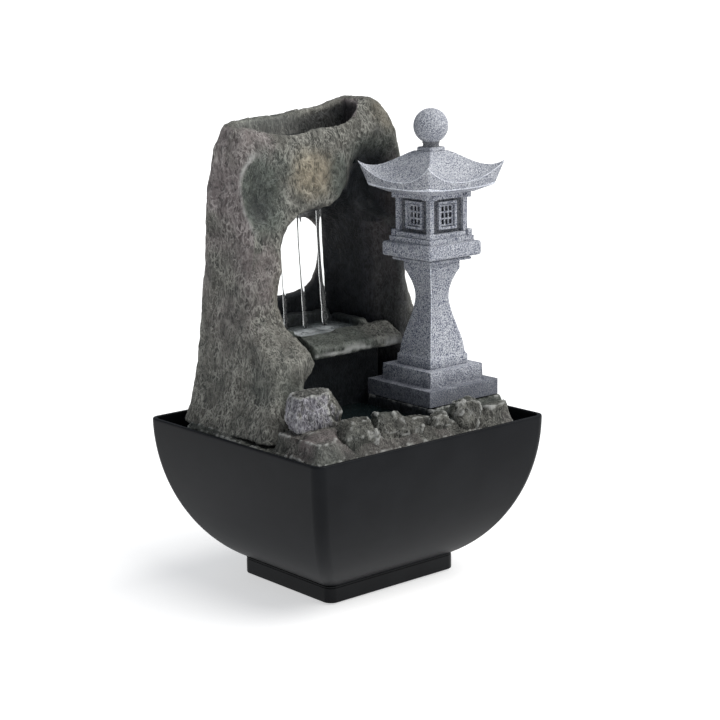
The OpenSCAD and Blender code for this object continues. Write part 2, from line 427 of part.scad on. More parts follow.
bowl();
bowl_foot();
foot_pads();
lead_grommet();
pump_housing();
stator_core();
stator_coil();
pump_back_cap();
rotor_shaft();
shaft_bushes();
volute_plate();
suction_cups();
impeller_wheel();
rotor_magnet();
strainer_cover();
flow_dial();
rock_base();
support_legs();
leg_bumpers();
rock_tower();
cascade_shelf();
boulder_left();
boulder_front();
boulder_slab();
boulders_right();
water_spouts();
pump_hose();
riser_pipe();
lantern_base();
lantern_pillar();
lantern_platform();
lantern_firebox();
lantern_lattices();
lantern_roof();
lantern_finial();
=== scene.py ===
import math

import bmesh
import bpy
import numpy as np
from mathutils import Matrix, Vector


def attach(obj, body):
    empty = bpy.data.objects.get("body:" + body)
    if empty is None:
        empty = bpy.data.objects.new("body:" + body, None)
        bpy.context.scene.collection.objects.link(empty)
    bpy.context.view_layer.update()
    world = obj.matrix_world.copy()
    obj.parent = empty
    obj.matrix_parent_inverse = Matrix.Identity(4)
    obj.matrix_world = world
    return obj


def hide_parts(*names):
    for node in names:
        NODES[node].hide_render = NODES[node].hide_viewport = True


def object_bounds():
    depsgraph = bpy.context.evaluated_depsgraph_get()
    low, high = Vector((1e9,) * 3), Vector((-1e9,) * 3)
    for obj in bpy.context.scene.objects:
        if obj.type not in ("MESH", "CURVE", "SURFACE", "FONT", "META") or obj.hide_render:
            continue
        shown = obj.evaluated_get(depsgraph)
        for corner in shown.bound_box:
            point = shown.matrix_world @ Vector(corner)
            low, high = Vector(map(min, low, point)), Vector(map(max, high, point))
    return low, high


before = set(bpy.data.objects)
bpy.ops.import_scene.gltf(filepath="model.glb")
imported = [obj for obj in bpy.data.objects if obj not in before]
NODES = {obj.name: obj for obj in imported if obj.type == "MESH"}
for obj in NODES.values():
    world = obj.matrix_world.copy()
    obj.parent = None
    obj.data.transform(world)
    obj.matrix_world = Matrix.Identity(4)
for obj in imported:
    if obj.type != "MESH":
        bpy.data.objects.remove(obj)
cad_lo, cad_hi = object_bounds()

SC = bpy.context.scene
MM = 0.001
F32 = np.float32

# ------------------------------------------------------------------ camera
AZ, EL, ROLL = math.radians(-40.40), math.radians(12.07), math.radians(-0.88)
TARGET = Vector((10.01, -0.12, 117.79)) * MM
DIST = 982.19 * MM
back = Vector((math.sin(AZ) * math.cos(EL), -math.cos(AZ) * math.cos(EL), math.sin(EL)))
right = Vector((math.cos(AZ), math.sin(AZ), 0))
up = back.cross(right)
right2 = right * math.cos(ROLL) + up * math.sin(ROLL)
up2 = up * math.cos(ROLL) - right * math.sin(ROLL)
cam_data = bpy.data.cameras.new("camera")
cam_data.lens = 90.38
cam_data.sensor_width = 36
cam_data.clip_start = 0.05
cam_data.clip_end = 200
cam = bpy.data.objects.new("camera", cam_data)
SC.collection.objects.link(cam)
m = Matrix((right2, up2, back)).transposed().to_4x4()
m.translation = TARGET + back * DIST
cam.matrix_world = m
SC.camera = cam


# ------------------------------------------------------------------ small helpers
def link(obj):
    SC.collection.objects.link(obj)
    return obj


def mesh_np(name, verts_mm, faces, smooth=True):
    """An object from an array of points in mm and an (n, 3) or (n, 4) array of faces."""
    me = bpy.data.meshes.new(name)
    verts = np.asarray(verts_mm, np.float64) * MM
    faces = np.asarray(faces, np.int32)
    k = faces.shape[1]
    me.vertices.add(len(verts))
    me.vertices.foreach_set("co", verts.astype(F32).ravel())
    me.loops.add(faces.size)
    me.loops.foreach_set("vertex_index", faces.ravel())
    me.polygons.add(len(faces))
    me.polygons.foreach_set("loop_start", np.arange(0, faces.size, k, dtype=np.int32))
    me.polygons.foreach_set("loop_total", np.full(len(faces), k, np.int32))
    me.polygons.foreach_set("use_smooth", np.full(len(faces), smooth))
    me.update(calc_edges=True)
    me.validate()
    return link(bpy.data.objects.new(name, me))


def float_attr(obj, name, values):
    a = obj.data.attributes.new(name, "FLOAT", "POINT")
    a.data.foreach_set("value", np.asarray(values, F32))


def from_bm(name, bm, smooth=False):
    me = bpy.data.meshes.new(name)
    bmesh.ops.recalc_face_normals(bm, faces=bm.faces)
    bm.to_mesh(me)
    bm.free()
    if smooth:
        me.polygons.foreach_set("use_smooth", np.full(len(me.polygons), True))
    return link(bpy.data.objects.new(name, me))


def apply_mods(obj):
    dg = bpy.context.evaluated_depsgraph_get()
    me = bpy.data.meshes.new_from_object(obj.evaluated_get(dg), depsgraph=dg)
    obj.modifiers.clear()
    old = obj.data
    obj.data = me
    bpy.data.meshes.remove(old)
    return obj


def bevel(obj, width_mm, segments=2, angle=32, mat=-1, smooth=True):
    b = obj.modifiers.new("bevel", "BEVEL")
    b.width = width_mm * MM
    b.segments = segments
    b.limit_method = "ANGLE"
    b.angle_limit = math.radians(angle)
    b.material = mat
    b.harden_normals = False
    b.use_clamp_overlap = True
    apply_mods(obj)
    if smooth:
        obj.data.polygons.foreach_set("use_smooth", np.full(len(obj.data.polygons), True))
        w = obj.modifiers.new("wn", "WEIGHTED_NORMAL")
        w.weight = 100
        w.keep_sharp = False
        apply_mods(obj)
    return obj


def boolean(obj, cutter, op="DIFFERENCE", keep=False):
    b = obj.modifiers.new("bool", "BOOLEAN")
    b.object = cutter
    b.operation = op
    b.solver = "EXACT"
    apply_mods(obj)
    if not keep:
        bpy.data.objects.remove(cutter)
    return obj


def box_bm(bm, x0, x1, y0, y1, z0, z1):
    v = [bm.verts.new((x * MM, y * MM, z * MM)) for z in (z0, z1) for (x, y) in ((x0, y0), (x1, y0), (x1, y1), (x0, y1))]
    for f in ((3, 2, 1, 0), (4, 5, 6, 7), (0, 1, 5, 4), (1, 2, 6, 5), (2, 3, 7, 6), (3, 0, 4, 7)):
        bm.faces.new([v[i] for i in f])


def box_obj(name, *dims):
    bm = bmesh.new()
    box_bm(bm, *dims)
    return from_bm(name, bm)


def cyl_obj(name, centre, axis, r, length, seg=48, r2=None):
    bm = bmesh.new()
    bmesh.ops.create_cone(bm, cap_ends=True, segments=seg, radius1=r * MM, radius2=(r if r2 is None else r2) * MM, depth=length * MM)
    rot = Vector((0, 0, 1)).rotation_difference(Vector(axis)).to_matrix().to_4x4()
    bmesh.ops.transform(bm, matrix=Matrix.Translation(Vector(centre) * MM) @ rot, verts=bm.verts)
    return from_bm(name, bm)


def loft(name, rings, close_bottom=True, close_top=True, smooth=True, loop_v=False):
    """Quads between rings of equal length, given as arrays (n, 3) in mm; ends closed with fans of a centre point."""
    rings = [np.asarray(r, float) for r in rings]
    n = len(rings[0])
    verts = np.concatenate(rings)
    faces = []
    k = np.arange(n)
    k2 = (k + 1) % n
    rows = len(rings)
    for j in range(rows - 1 + (1 if loop_v else 0)):
        a, b = j * n, ((j + 1) % rows) * n
        faces.append(np.stack([a + k, a + k2, b + k2, b + k], 1))
    faces = np.concatenate(faces)
    obj = mesh_np(name, verts, faces, smooth)
    if loop_v:
        return obj
    bm = bmesh.new()
    bm.from_mesh(obj.data)
    bm.verts.ensure_lookup_table()
    for ok, start in ((close_bottom, 0), (close_top, (rows - 1) * n)):
        if not ok:
            continue
        ring = [bm.verts[start + i] for i in range(n)]
        c = bm.verts.new(sum((v.co for v in ring), Vector()) / n)
        for i in range(n):
            f = bm.faces.new((ring[i], ring[(i + 1) % n], c))
            f.smooth = smooth
        bm.verts.ensure_lookup_table()
    bmesh.ops.recalc_face_normals(bm, faces=bm.faces)
    bm.to_mesh(obj.data)
    bm.free()
    return obj


# ------------------------------------------------------------------ numbers: noise and fields
def ss(a, b, x):
    t = np.clip((x - a) / (b - a), 0, 1)
    return t * t * (3 - 2 * t)


def ip(x, pairs):
    p = np.array(pairs, float)
    return np.interp(x, p[:, 0], p[:, 1]).astype(F32)


def hash01(ix, iy, iz, seed):
    h = (ix.astype(np.int64) * 374761393 + iy.astype(np.int64) * 668265263 + iz.astype(np.int64) * 1274126177 + seed * 974634777) & 0xFFFFFFFF
    h = ((h ^ (h >> 13)) * 1274126177) & 0xFFFFFFFF
    h = ((h ^ (h >> 15)) * 1103515245) & 0xFFFFFFFF
    h = h ^ (h >> 16)
    return h / 4294967296.0


class Grid:
    def __init__(self, lo, hi, h=1.0):
        self.lo, self.h = np.array(lo, float), h
        self.n = [int(round((hi[i] - lo[i]) / h)) + 1 for i in range(3)]
        ax = [(self.lo[i] + h * np.arange(self.n[i])).astype(F32) for i in range(3)]
        self.x, self.y, self.z = ax[0][:, None, None], ax[1][None, :, None], ax[2][None, None, :]
        self.ax = ax

    def _w(self, i, length):
        p = self.ax[i].astype(float) / length
        i0 = np.floor(p).astype(int)
        f = p - i0
        lo = i0.min()
        w = np.zeros((len(p), i0.max() - lo + 4), F32)
        r = np.arange(len(p))
        for k, c in enumerate(((1 - f) ** 3 / 6, (3 * f**3 - 6 * f**2 + 4) / 6, (-3 * f**3 + 3 * f**2 + 3 * f + 1) / 6, f**3 / 6)):
            w[r, i0 - lo + k] = c
        return w, lo

    def noise(self, length, seed, stretch=(1, 1, 1)):
        """Smooth noise of about -1 to 1 over the grid, the same in every grid."""
        ws = [self._w(i, length * stretch[i]) for i in range(3)]
        idx = [np.arange(w.shape[1]) + lo for w, lo in ws]
        lat = (hash01(idx[0][:, None, None], idx[1][None, :, None], idx[2][None, None, :], seed) * 2 - 1).astype(F32)
        a = np.tensordot(ws[0][0], lat, (1, 0))
        a = np.tensordot(a, ws[1][0], (1, 1)).transpose(0, 2, 1)
        a = np.tensordot(a, ws[2][0], (2, 1))
        return a * 2.6


def vnoise(p, length, seed, stretch=(1, 1, 1)):
    """Value noise of -1 to 1 at points (n, 3)."""
    q = p / (length * np.array(stretch))
    i0 = np.floor(q).astype(np.int64)
    f = q - i0
    f = f * f * f * (f * (f * 6 - 15) + 10)
    out = np.zeros(len(p))
    for dx in (0, 1):
        for dy in (0, 1):
            for dz in (0, 1):
                w = (f[:, 0] if dx else 1 - f[:, 0]) * (f[:, 1] if dy else 1 - f[:, 1]) * (f[:, 2] if dz else 1 - f[:, 2])
                out += w * hash01(i0[:, 0] + dx, i0[:, 1] + dy, i0[:, 2] + dz, seed)
    return out * 2 - 1


def chips(p, length, seed, stretch=(1, 1, 1)):
    """Flat tilted facets, one for each cell: (height of about -1 to 1, distance from the nearest cell edge of 0 to 1)."""
    q = p / (length * np.array(stretch))
    i0 = np.floor(q).astype(np.int64)
    best = np.full(len(p), 9.0)
    second = np.full(len(p), 9.0)
    val = np.zeros(len(p))
    for dx in (-1, 0, 1):
        for dy in (-1, 0, 1):
            for dz in (-1, 0, 1):
                c = i0 + (dx, dy, dz)
                h = [hash01(c[:, 0], c[:, 1], c[:, 2], seed + k) for k in range(6)]
                d = q - c - np.stack(h[:3], 1)
                r = np.sqrt((d * d).sum(1))
                tilt = np.stack(h[3:6], 1) * 2 - 1
                v = (d * tilt).sum(1) + (h[3] - 0.5) * 0.5
                near = r < best
                second = np.where(near, best, np.minimum(second, r))
                val = np.where(near, v, val)
                best = np.where(near, r, best)
    return val, np.clip(second - best, 0, 1)


def smax(a, b, k):
    h = np.clip(0.5 + 0.5 * (a - b) / k, 0, 1)
    return b * (1 - h) + a * h + k * h * (1 - h)


def smin(a, b, k):
    return -smax(-a, -b, k)


def hull2(pts):
    pts = sorted(set((round(float(a), 5), round(float(b), 5)) for a, b in pts))

    def half(seq):
        out = []
        for p in seq:
            while len(out) > 1 and (out[-1][0] - out[-2][0]) * (p[1] - out[-2][1]) - (out[-1][1] - out[-2][1]) * (p[0] - out[-2][0]) <= 0:
                out.pop()
            out.append(p)
        return out[:-1]

    return half(pts) + half(pts[::-1])


def poly_sd(x, y, poly):
    """Distance to a convex polygon (anticlockwise), negative inside."""
    plane = np.full(np.broadcast(x, y).shape, -1e9, F32)
    seg = np.full(plane.shape, 1e9, F32)
    n = len(poly)
    for i in range(n):
        (ax, ay), (bx, by) = poly[i], poly[(i + 1) % n]
        ex, ey = bx - ax, by - ay
        ll = math.hypot(ex, ey)
        if ll < 1e-6:
            continue
        px, py = x - ax, y - ay
        plane = np.maximum(plane, (px * ey - py * ex) / ll)
        t = np.clip((px * ex + py * ey) / (ll * ll), 0, 1)
        seg = np.minimum(seg, (px - t * ex) ** 2 + (py - t * ey) ** 2)
    return np.where(plane < 0, plane, np.sqrt(seg))


def prism(g, levels, pad=7.0):
    """Field of a tower of hulls between levels (z, points, radius), joined in one."""
    out = np.full(g.n, 30.0, F32)
    x2, y2 = g.ax[0][:, None], g.ax[1][None, :]
    for (z0, p0, r0), (z1, p1, r1) in zip(levels[:-1], levels[1:]):
        for k, z in enumerate(g.ax[2]):
            if z < z0 - pad or z > z1 + pad:
                continue
            t = min(max((z - z0) / (z1 - z0), 0), 1)
            poly = hull2([((1 - t) * a[0] + t * b[0], (1 - t) * a[1] + t * b[1]) for a in p0 for b in p1])
            r = r0 * (1 - t) + r1 * t
            d = (poly_sd(x2, y2, poly) if len(poly) > 2 else seg_sd(x2, y2, poly)) - r
            dz = max(z0 - z, z - z1)
            if dz > 0:
                d = np.where(d > 0, np.sqrt(d * d + dz * dz), dz)
            out[:, :, k] = np.minimum(out[:, :, k], d)
    # the ends of the tower, so that the field falls off towards them inside
    zlo, zhi = levels[0][0], levels[-1][0]
    return np.maximum(out, np.maximum(zlo - g.z, g.z - zhi))


def seg_sd(x, y, poly):
    (ax, ay), (bx, by) = (poly[0], poly[-1])
    ex, ey = bx - ax, by - ay
    ll = max(ex * ex + ey * ey, 1e-9)
    t = np.clip(((x - ax) * ex + (y - ay) * ey) / ll, 0, 1)
    return np.sqrt((x - ax - t * ex) ** 2 + (y - ay - t * ey) ** 2)


def rrect_sd(x, y, x0, x1, y0, y1, r):
    qx = np.abs(x - (x0 + x1) / 2) - ((x1 - x0) / 2 - r)
    qy = np.abs(y - (y0 + y1) / 2) - ((y1 - y0) / 2 - r)
    return np.sqrt(np.maximum(qx, 0) ** 2 + np.maximum(qy, 0) ** 2) + np.minimum(np.maximum(qx, qy), 0) - r


def superel(u, v, n):
    return (np.abs(u) ** n + np.abs(v) ** n) ** (1.0 / n)


def ellipsoid(g, c, r):
    u, v, w = (g.x - c[0]) / r[0], (g.y - c[1]) / r[1], (g.z - c[2]) / r[2]
    k0 = np.sqrt(u * u + v * v + w * w)
    return (k0 - 1) * min(r)


def nets(f, g):
    """Naive surface nets: points in mm, quads, outward facing, from a field that is negative inside."""
    s = f < 0
    nx, ny, nz = f.shape
    c = np.zeros((nx - 1, ny - 1, nz - 1), np.int8)
    corners = [(a, b, d) for a in (0, 1) for b in (0, 1) for d in (0, 1)]
    for a, b, d in corners:
        c += s[a : nx - 1 + a, b : ny - 1 + b, d : nz - 1 + d]
    active = (c > 0) & (c < 8)
    cells = np.argwhere(active)
    idx = np.full(active.shape, -1, np.int64)
    idx[active] = np.arange(len(cells))
    vals = np.stack([f[cells[:, 0] + a, cells[:, 1] + b, cells[:, 2] + d] for a, b, d in corners], 1).astype(float)
    pos = np.zeros((len(cells), 3))
    cnt = np.zeros(len(cells))
    for i, ca in enumerate(corners):
        for j, cb in enumerate(corners):
            if j <= i or sum(abs(ca[k] - cb[k]) for k in range(3)) != 1:
                continue
            va, vb = vals[:, i], vals[:, j]
            hit = (va < 0) != (vb < 0)
            t = np.where(hit, va / np.where(hit, va - vb, 1), 0)
            p = np.array(ca)[None] + t[:, None] * (np.array(cb) - np.array(ca))[None]
            pos += np.where(hit[:, None], p, 0)
            cnt += hit
    pts = (cells + pos / cnt[:, None]) * g.h + g.lo
    quads = []
    for ax in range(3):
        lo = [slice(None)] * 3
        hi = [slice(None)] * 3
        lo[ax], hi[ax] = slice(0, -1), slice(1, None)
        a, b = s[tuple(lo)], s[tuple(hi)]
        e = np.argwhere(a != b)
        o1, o2 = [k for k in range(3) if k != ax]
        e = e[(e[:, o1] > 0) & (e[:, o2] > 0) & (e[:, o1] < f.shape[o1] - 1) & (e[:, o2] < f.shape[o2] - 1)]
        inside_first = a[e[:, 0], e[:, 1], e[:, 2]]
        ring = []
        for d1, d2 in ((-1, -1), (0, -1), (0, 0), (-1, 0)):
            q = e.copy()
            q[:, o1] += d1
            q[:, o2] += d2
            ring.append(idx[q[:, 0], q[:, 1], q[:, 2]])
        q = np.stack(ring, 1)
        flip = inside_first if ax != 1 else ~inside_first
        q = np.where(flip[:, None], q, q[:, ::-1])
        quads.append(q)
    quads = np.concatenate(quads)
    return keep_largest(pts, quads[(quads >= 0).all(1)])


def keep_largest(pts, quads):
    lab = np.arange(len(pts))
    a = np.concatenate([quads[:, 0], quads[:, 1], quads[:, 2]])
    b = np.concatenate([quads[:, 1], quads[:, 2], quads[:, 3]])
    while True:
        mn = np.minimum(lab[a], lab[b])
        new = lab.copy()
        np.minimum.at(new, a, mn)
        np.minimum.at(new, b, mn)
        new = new[new]
        new = new[new]
        if (new == lab).all():
            break
        lab = new
    ids, counts = np.unique(lab, return_counts=True)
    keep = np.isin(lab, ids[counts > 600])
    if not keep.any():
        keep = lab == ids[counts.argmax()]
    remap = np.cumsum(keep) - 1
    q = quads[keep[quads].all(1)]
    return pts[keep], remap[q]


def vert_normals(p, q):
    n = np.cross(p[q[:, 2]] - p[q[:, 0]], p[q[:, 3]] - p[q[:, 1]])
    out = np.zeros_like(p)
    for k in range(4):
        np.add.at(out, q[:, k], n)
    return out / np.maximum(np.linalg.norm(out, axis=1, keepdims=True), 1e-9)


def relax(vals, q, times=1, n=None):
    """Average with the neighbours over the mesh's edges."""
    n = len(vals) if n is None else n
    a = q.ravel()
    b = q[:, [1, 2, 3, 0]].ravel()
    cnt = np.bincount(a, minlength=n) + np.bincount(b, minlength=n)
    v = np.asarray(vals, float)
    for _ in range(times):
        if v.ndim == 1:
            s = np.bincount(a, v[b], n) + np.bincount(b, v[a], n)
            v = s / np.maximum(cnt, 1)
        else:
            v = np.stack([(np.bincount(a, v[b, i], n) + np.bincount(b, v[a, i], n)) / np.maximum(cnt, 1) for i in range(3)], 1)
    return v


# ------------------------------------------------------------------ materials
class Mat:
    """A node material in the making."""

    def __init__(self, name, rough=0.5, **sockets):
        self.m = bpy.data.materials.new(name)
        self.m.use_nodes = True
        self.n, self.l = self.m.node_tree.nodes, self.m.node_tree.links
        self.bsdf = self.n["Principled BSDF"]
        self.tc = self.n.new("ShaderNodeTexCoord").outputs["Object"]
        self.bsdf.inputs["Roughness"].default_value = rough
        for k, v in sockets.items():
            self.bsdf.inputs[k.replace("_", " ")].default_value = v

    def put(self, sock, v):
        if hasattr(v, "links"):
            self.l.new(v, sock)
        elif isinstance(v, (tuple, list)) and len(v) == 3 and sock.type == "RGBA":
            sock.default_value = (*v, 1)
        else:
            sock.default_value = v

    def f(self, op, a, b=0.0, c=None, clamp=False):
        n = self.n.new("ShaderNodeMath")
        n.operation, n.use_clamp = op, clamp
        self.put(n.inputs[0], a)
        self.put(n.inputs[1], b)
        if c is not None:
            self.put(n.inputs[2], c)
        return n.outputs[0]

    def step(self, x, a, b):
        n = self.n.new("ShaderNodeMapRange")
        n.interpolation_type = "SMOOTHSTEP"
        self.put(n.inputs["Value"], x)
        n.inputs["From Min"].default_value, n.inputs["From Max"].default_value = a, b
        return n.outputs[0]

    def mix(self, fac, a, b, mode="MIX"):
        n = self.n.new("ShaderNodeMix")
        n.data_type, n.blend_type = "RGBA", mode
        n.clamp_factor = True
        self.put(n.inputs[0], fac)
        self.put(n.inputs[6], a)
        self.put(n.inputs[7], b)
        return n.outputs[2]

    def lerp(self, fac, a, b):
        n = self.n.new("ShaderNodeMix")
        n.data_type = "FLOAT"
        self.put(n.inputs[0], fac)
        self.put(n.inputs[2], a)
        self.put(n.inputs[3], b)
        return n.outputs[0]

    def scaled(self, vec, s, rot=(0, 0, 0)):
        n = self.n.new("ShaderNodeMapping")
        n.vector_type = "POINT"
        self.l.new(vec, n.inputs["Vector"])
        n.inputs["Scale"].default_value = s
        n.inputs["Rotation"].default_value = rot
        return n.outputs[0]

    def warp(self, vec, scale, amount):
        """vec moved about by slow noise."""
        n = self.n.new("ShaderNodeTexNoise")
        n.inputs["Scale"].default_value = scale
        n.inputs["Detail"].default_value = 1.0
        self.l.new(vec, n.inputs["Vector"])
        a = self.n.new("ShaderNodeVectorMath")
        a.operation = "SUBTRACT"
        self.l.new(n.outputs["Color"], a.inputs[0])
        a.inputs[1].default_value = (0.5, 0.5, 0.5)
        b = self.n.new("ShaderNodeVectorMath")
        b.operation = "SCALE"
        self.l.new(a.outputs[0], b.inputs[0])
        b.inputs["Scale"].default_value = amount
        c = self.n.new("ShaderNodeVectorMath")
        c.operation = "ADD"
        self.l.new(vec, c.inputs[0])
        self.l.new(b.outputs[0], c.inputs[1])
        return c.outputs[0]

    def noise(self, vec, scale, detail=2.0, rough=0.5, dist=0.0):
        n = self.n.new("ShaderNodeTexNoise")
        self.l.new(vec, n.inputs["Vector"])
        n.inputs["Scale"].default_value = scale
        n.inputs["Detail"].default_value = detail
        n.inputs["Roughness"].default_value = rough
        n.inputs["Distortion"].default_value = dist
        return n.outputs["Fac"]

    def voronoi(self, vec, scale, feature="F1", out="Distance", rand=1.0):
        n = self.n.new("ShaderNodeTexVoronoi")
        n.feature = feature
        self.l.new(vec, n.inputs["Vector"])
        n.inputs["Scale"].default_value = scale
        n.inputs["Randomness"].default_value = rand
        return n.outputs[out]

    def attr(self, name):
        n = self.n.new("ShaderNodeAttribute")
        n.attribute_name = name
        return n.outputs["Fac"]

    def ridge(self, x, width=0.12):
        """1 where a noise crosses its middle, 0 away from it: thin lines."""
        d = self.f("ABSOLUTE", self.f("SUBTRACT", x, 0.5))
        return self.f("SUBTRACT", 1.0, self.step(d, 0.0, width))

    def bump(self, height, dist_mm, strength=1.0):
        n = self.n.new("ShaderNodeBump")
        n.inputs["Strength"].default_value = strength
        n.inputs["Distance"].default_value = dist_mm * MM
        self.l.new(height, n.inputs["Height"])
        self.l.new(n.outputs[0], self.bsdf.inputs["Normal"])

    def colour(self, c):
        self.put(self.bsdf.inputs["Base Color"], c)

    def rough(self, r):
        self.put(self.bsdf.inputs["Roughness"], r)


def rock_mat(name, dry=1.0, tone=1.0, lilac=0.0):
    k = Mat(name, 0.7)
    co = k.tc
    warped = k.warp(co, 70, 0.007)
    # fine light strokes: upright ones, slanting ones, and a sparse net of veins
    s1 = k.noise(k.scaled(warped, (1, 1, 0.42)), 430, 2.0, 0.6)
    s2 = k.noise(k.scaled(warped, (1, 1, 0.34), (0.25, 0.75, 0.2)), 470, 2.0, 0.55)
    s3 = k.voronoi(k.scaled(k.warp(co, 160, 0.006), (1, 1, 0.7), (0.9, 0.2, 0.4)), 105, "DISTANCE_TO_EDGE")
    cav, moss, mauve, tan, depth_shade, pale_paint_and_highlight = (k.attr(a) for a in ("cav", "moss", "mauve", "tan", "depth_shade", "pale_paint_and_highlight"))
    big = k.noise(co, 60, 2.0, 0.55)
    mid = k.noise(co, 190, 3.0, 0.6)
    fine = k.noise(co, 1300, 2.0, 0.6)
    upright = k.f("MULTIPLY", k.ridge(s1, 0.075), k.f("SUBTRACT", 1.0, k.f("MULTIPLY", tan, 0.8)))
    slant = k.f("MULTIPLY", k.ridge(s2, 0.075), k.f("ADD", 0.45, k.f("MULTIPLY", tan, 0.6)))
    lines = k.f("MAXIMUM", upright, slant)
    veins = k.f("MULTIPLY", k.f("SUBTRACT", 1.0, k.step(s3, 0.0, 0.055)), k.step(k.noise(co, 120, 1.0, 0.5), 0.40, 0.60))
    lines = k.f("MAXIMUM", lines, veins)
    t = tone
    base = k.mix(k.step(mid, 0.36, 0.64), (0.034 * t, 0.036 * t, 0.032 * t), (0.090 * t, 0.087 * t, 0.076 * t))
    base = k.mix(k.f("MULTIPLY", k.step(big, 0.42, 0.62), 0.5), base, (0.068 * t, 0.062 * t, 0.052 * t))
    m0, m1, m2 = ((0.062, 0.050, 0.050), (0.128, 0.104, 0.104), (0.36, 0.325, 0.32)) if not lilac else ((0.040, 0.038, 0.046), (0.095, 0.090, 0.108), (0.56, 0.55, 0.59))
    base = k.mix(mauve, base, k.mix(k.step(mid, 0.36, 0.62), m0, m1))
    base = k.mix(tan, base, k.mix(k.step(mid, 0.36, 0.62), (0.090, 0.078, 0.054), (0.200, 0.168, 0.120)))
    base = k.mix(k.f("MULTIPLY", moss, 0.92), base, k.mix(k.step(mid, 0.35, 0.65), (0.018, 0.023, 0.020), (0.050, 0.058, 0.048)))
    base = k.mix(k.f("MULTIPLY", k.step(fine, 0.45, 0.75), 0.8), base, k.mix(0.5, base, (0.15, 0.15, 0.135)))
    # light paint caught on the strokes; on the high spots it is partly dry-brushed paint and partly painted highlight
    patch = k.step(k.noise(co, 85, 2.0, 0.5), 0.28, 0.66)
    amount = k.f("MULTIPLY", lines, k.f("ADD", 0.22, k.f("MULTIPLY", patch, 0.62)))
    high = k.step(k.f("ADD", cav, k.f("MULTIPLY", k.f("SUBTRACT", mid, 0.5), 0.8)), 0.0, 1.0)
    amount = k.f("ADD", amount, k.f("MULTIPLY", high, 0.16))
    amount = k.f("MULTIPLY", amount, k.f("SUBTRACT", 1.0, k.f("MULTIPLY", moss, 0.42)))
    amount = k.f("MULTIPLY", amount, k.f("SUBTRACT", 1.0, k.f("MULTIPLY", depth_shade, 0.90)))
    amount = k.f("MULTIPLY", amount, dry, clamp=True)
    light = k.mix(mauve, (0.315, 0.312, 0.278), m2)
    light = k.mix(tan, light, (0.43, 0.38, 0.28))
    light = k.mix(moss, light, (0.235, 0.260, 0.232))
    col = k.mix(amount, base, light)
    # painted shade: dark in the cavities, and in the tunnel, the scoop and the other deep hollows
    low = k.f("SUBTRACT", 1.0, k.step(cav, -1.1, -0.1))
    col = k.mix(k.f("MULTIPLY", low, 0.55), col, (0.014, 0.016, 0.015))
    shade_tint = k.mix(k.step(mid, 0.4, 0.7), (0.0018, 0.0032, 0.0042), (0.0078, 0.0108, 0.0135))
    shade_tint = k.mix(k.f("MULTIPLY", lines, k.lerp(k.step(depth_shade, 0.90, 1.0), 0.42, 0.12)), shade_tint, (0.036, 0.041, 0.060))
    col = k.mix(k.f("MULTIPLY", depth_shade, 0.95), col, shade_tint)
    # pale paint on the veins, and painted highlight on the edges and rims
    col = k.mix(k.f("MULTIPLY", pale_paint_and_highlight, 0.85), col, (0.42, 0.425, 0.41))
    k.colour(col)
    k.rough(k.lerp(depth_shade, k.lerp(moss, 0.72, 0.58), 0.5))
    h = k.f("ADD", k.f("MULTIPLY", lines, 0.45), k.f("MULTIPLY", mid, 0.55))
    h = k.f("ADD", h, k.f("MULTIPLY", fine, 0.20))
    k.bump(h, 0.8, 0.75)
    k.bsdf.inputs["Specular IOR Level"].default_value = 0.25
    return k.m


def granite_mat(name, lift=1.0, speckle=1.0):
    k = Mat(name, 0.8)
    co = k.tc
    a = k.noise(co, 1350, 2.0, 0.7)
    b = k.noise(k.scaled(co, (1, 1, 1), (0.7, 0.4, 0.2)), 2400, 1.0, 0.5)
    c = k.noise(co, 150, 2.0, 0.5)
    d = k.noise(co, 480, 2.0, 0.6)
    base = k.mix(k.step(c, 0.35, 0.65), (0.305 * lift, 0.320 * lift, 0.358 * lift), (0.390 * lift, 0.404 * lift, 0.436 * lift))
    base = k.mix(k.step(b, 0.51, 0.62), base, (0.66 * lift, 0.675 * lift, 0.71 * lift))
    speck = k.f("SUBTRACT", 1.0, k.step(a, 0.43, 0.54))
    speck = k.f("MULTIPLY", speck, k.f("ADD", 0.55, k.f("MULTIPLY", k.step(d, 0.35, 0.6), 0.4)))
    base = k.mix(k.f("MULTIPLY", speck, 0.94 * speckle), base, (0.040 * lift, 0.048 * lift, 0.092 * lift))
    # painted shade: darker at its foot; a little paler on the roof
    xyz = k.n.new("ShaderNodeSeparateXYZ")
    k.l.new(co, xyz.inputs[0])
    z = k.f("ADD", xyz.outputs[2], k.f("MULTIPLY", k.f("SUBTRACT", c, 0.5), 0.012))
    foot = k.f("SUBTRACT", 1.0, k.step(z, 0.103, 0.120))
    base = k.mix(k.f("MULTIPLY", foot, 0.70 if lift <= 1 else 0.20), base, (0.055 * lift, 0.060 * lift, 0.075 * lift))
    base = k.mix(k.f("MULTIPLY", k.step(z, 0.207, 0.226), 0.08), base, (0.80, 0.81, 0.83))
    k.colour(base)
    k.bump(k.f("ADD", k.f("MULTIPLY", a, 0.8), k.f("MULTIPLY", b, 0.4)), 0.38, 0.8)
    k.bsdf.inputs["Specular IOR Level"].default_value = 0.2
    return k.m


def plastic_mat(name, col, rough, grain=0.05, scale=2600, spec=0.5, wear=0.03):
    k = Mat(name, rough)
    co = k.tc
    n = k.noise(co, scale, 2.0, 0.5)
    slow = k.noise(co, 45, 2.0, 0.5)
    k.colour(k.mix(k.step(slow, 0.35, 0.7), col, tuple(min(1, c * (1 + 6 * wear) + wear * 0.05) for c in col)))
    k.rough(k.f("ADD", rough - 0.03, k.f("MULTIPLY", slow, 0.06)))
    k.bump(n, grain, 0.6)
    k.bsdf.inputs["Specular IOR Level"].default_value = spec
    return k.m


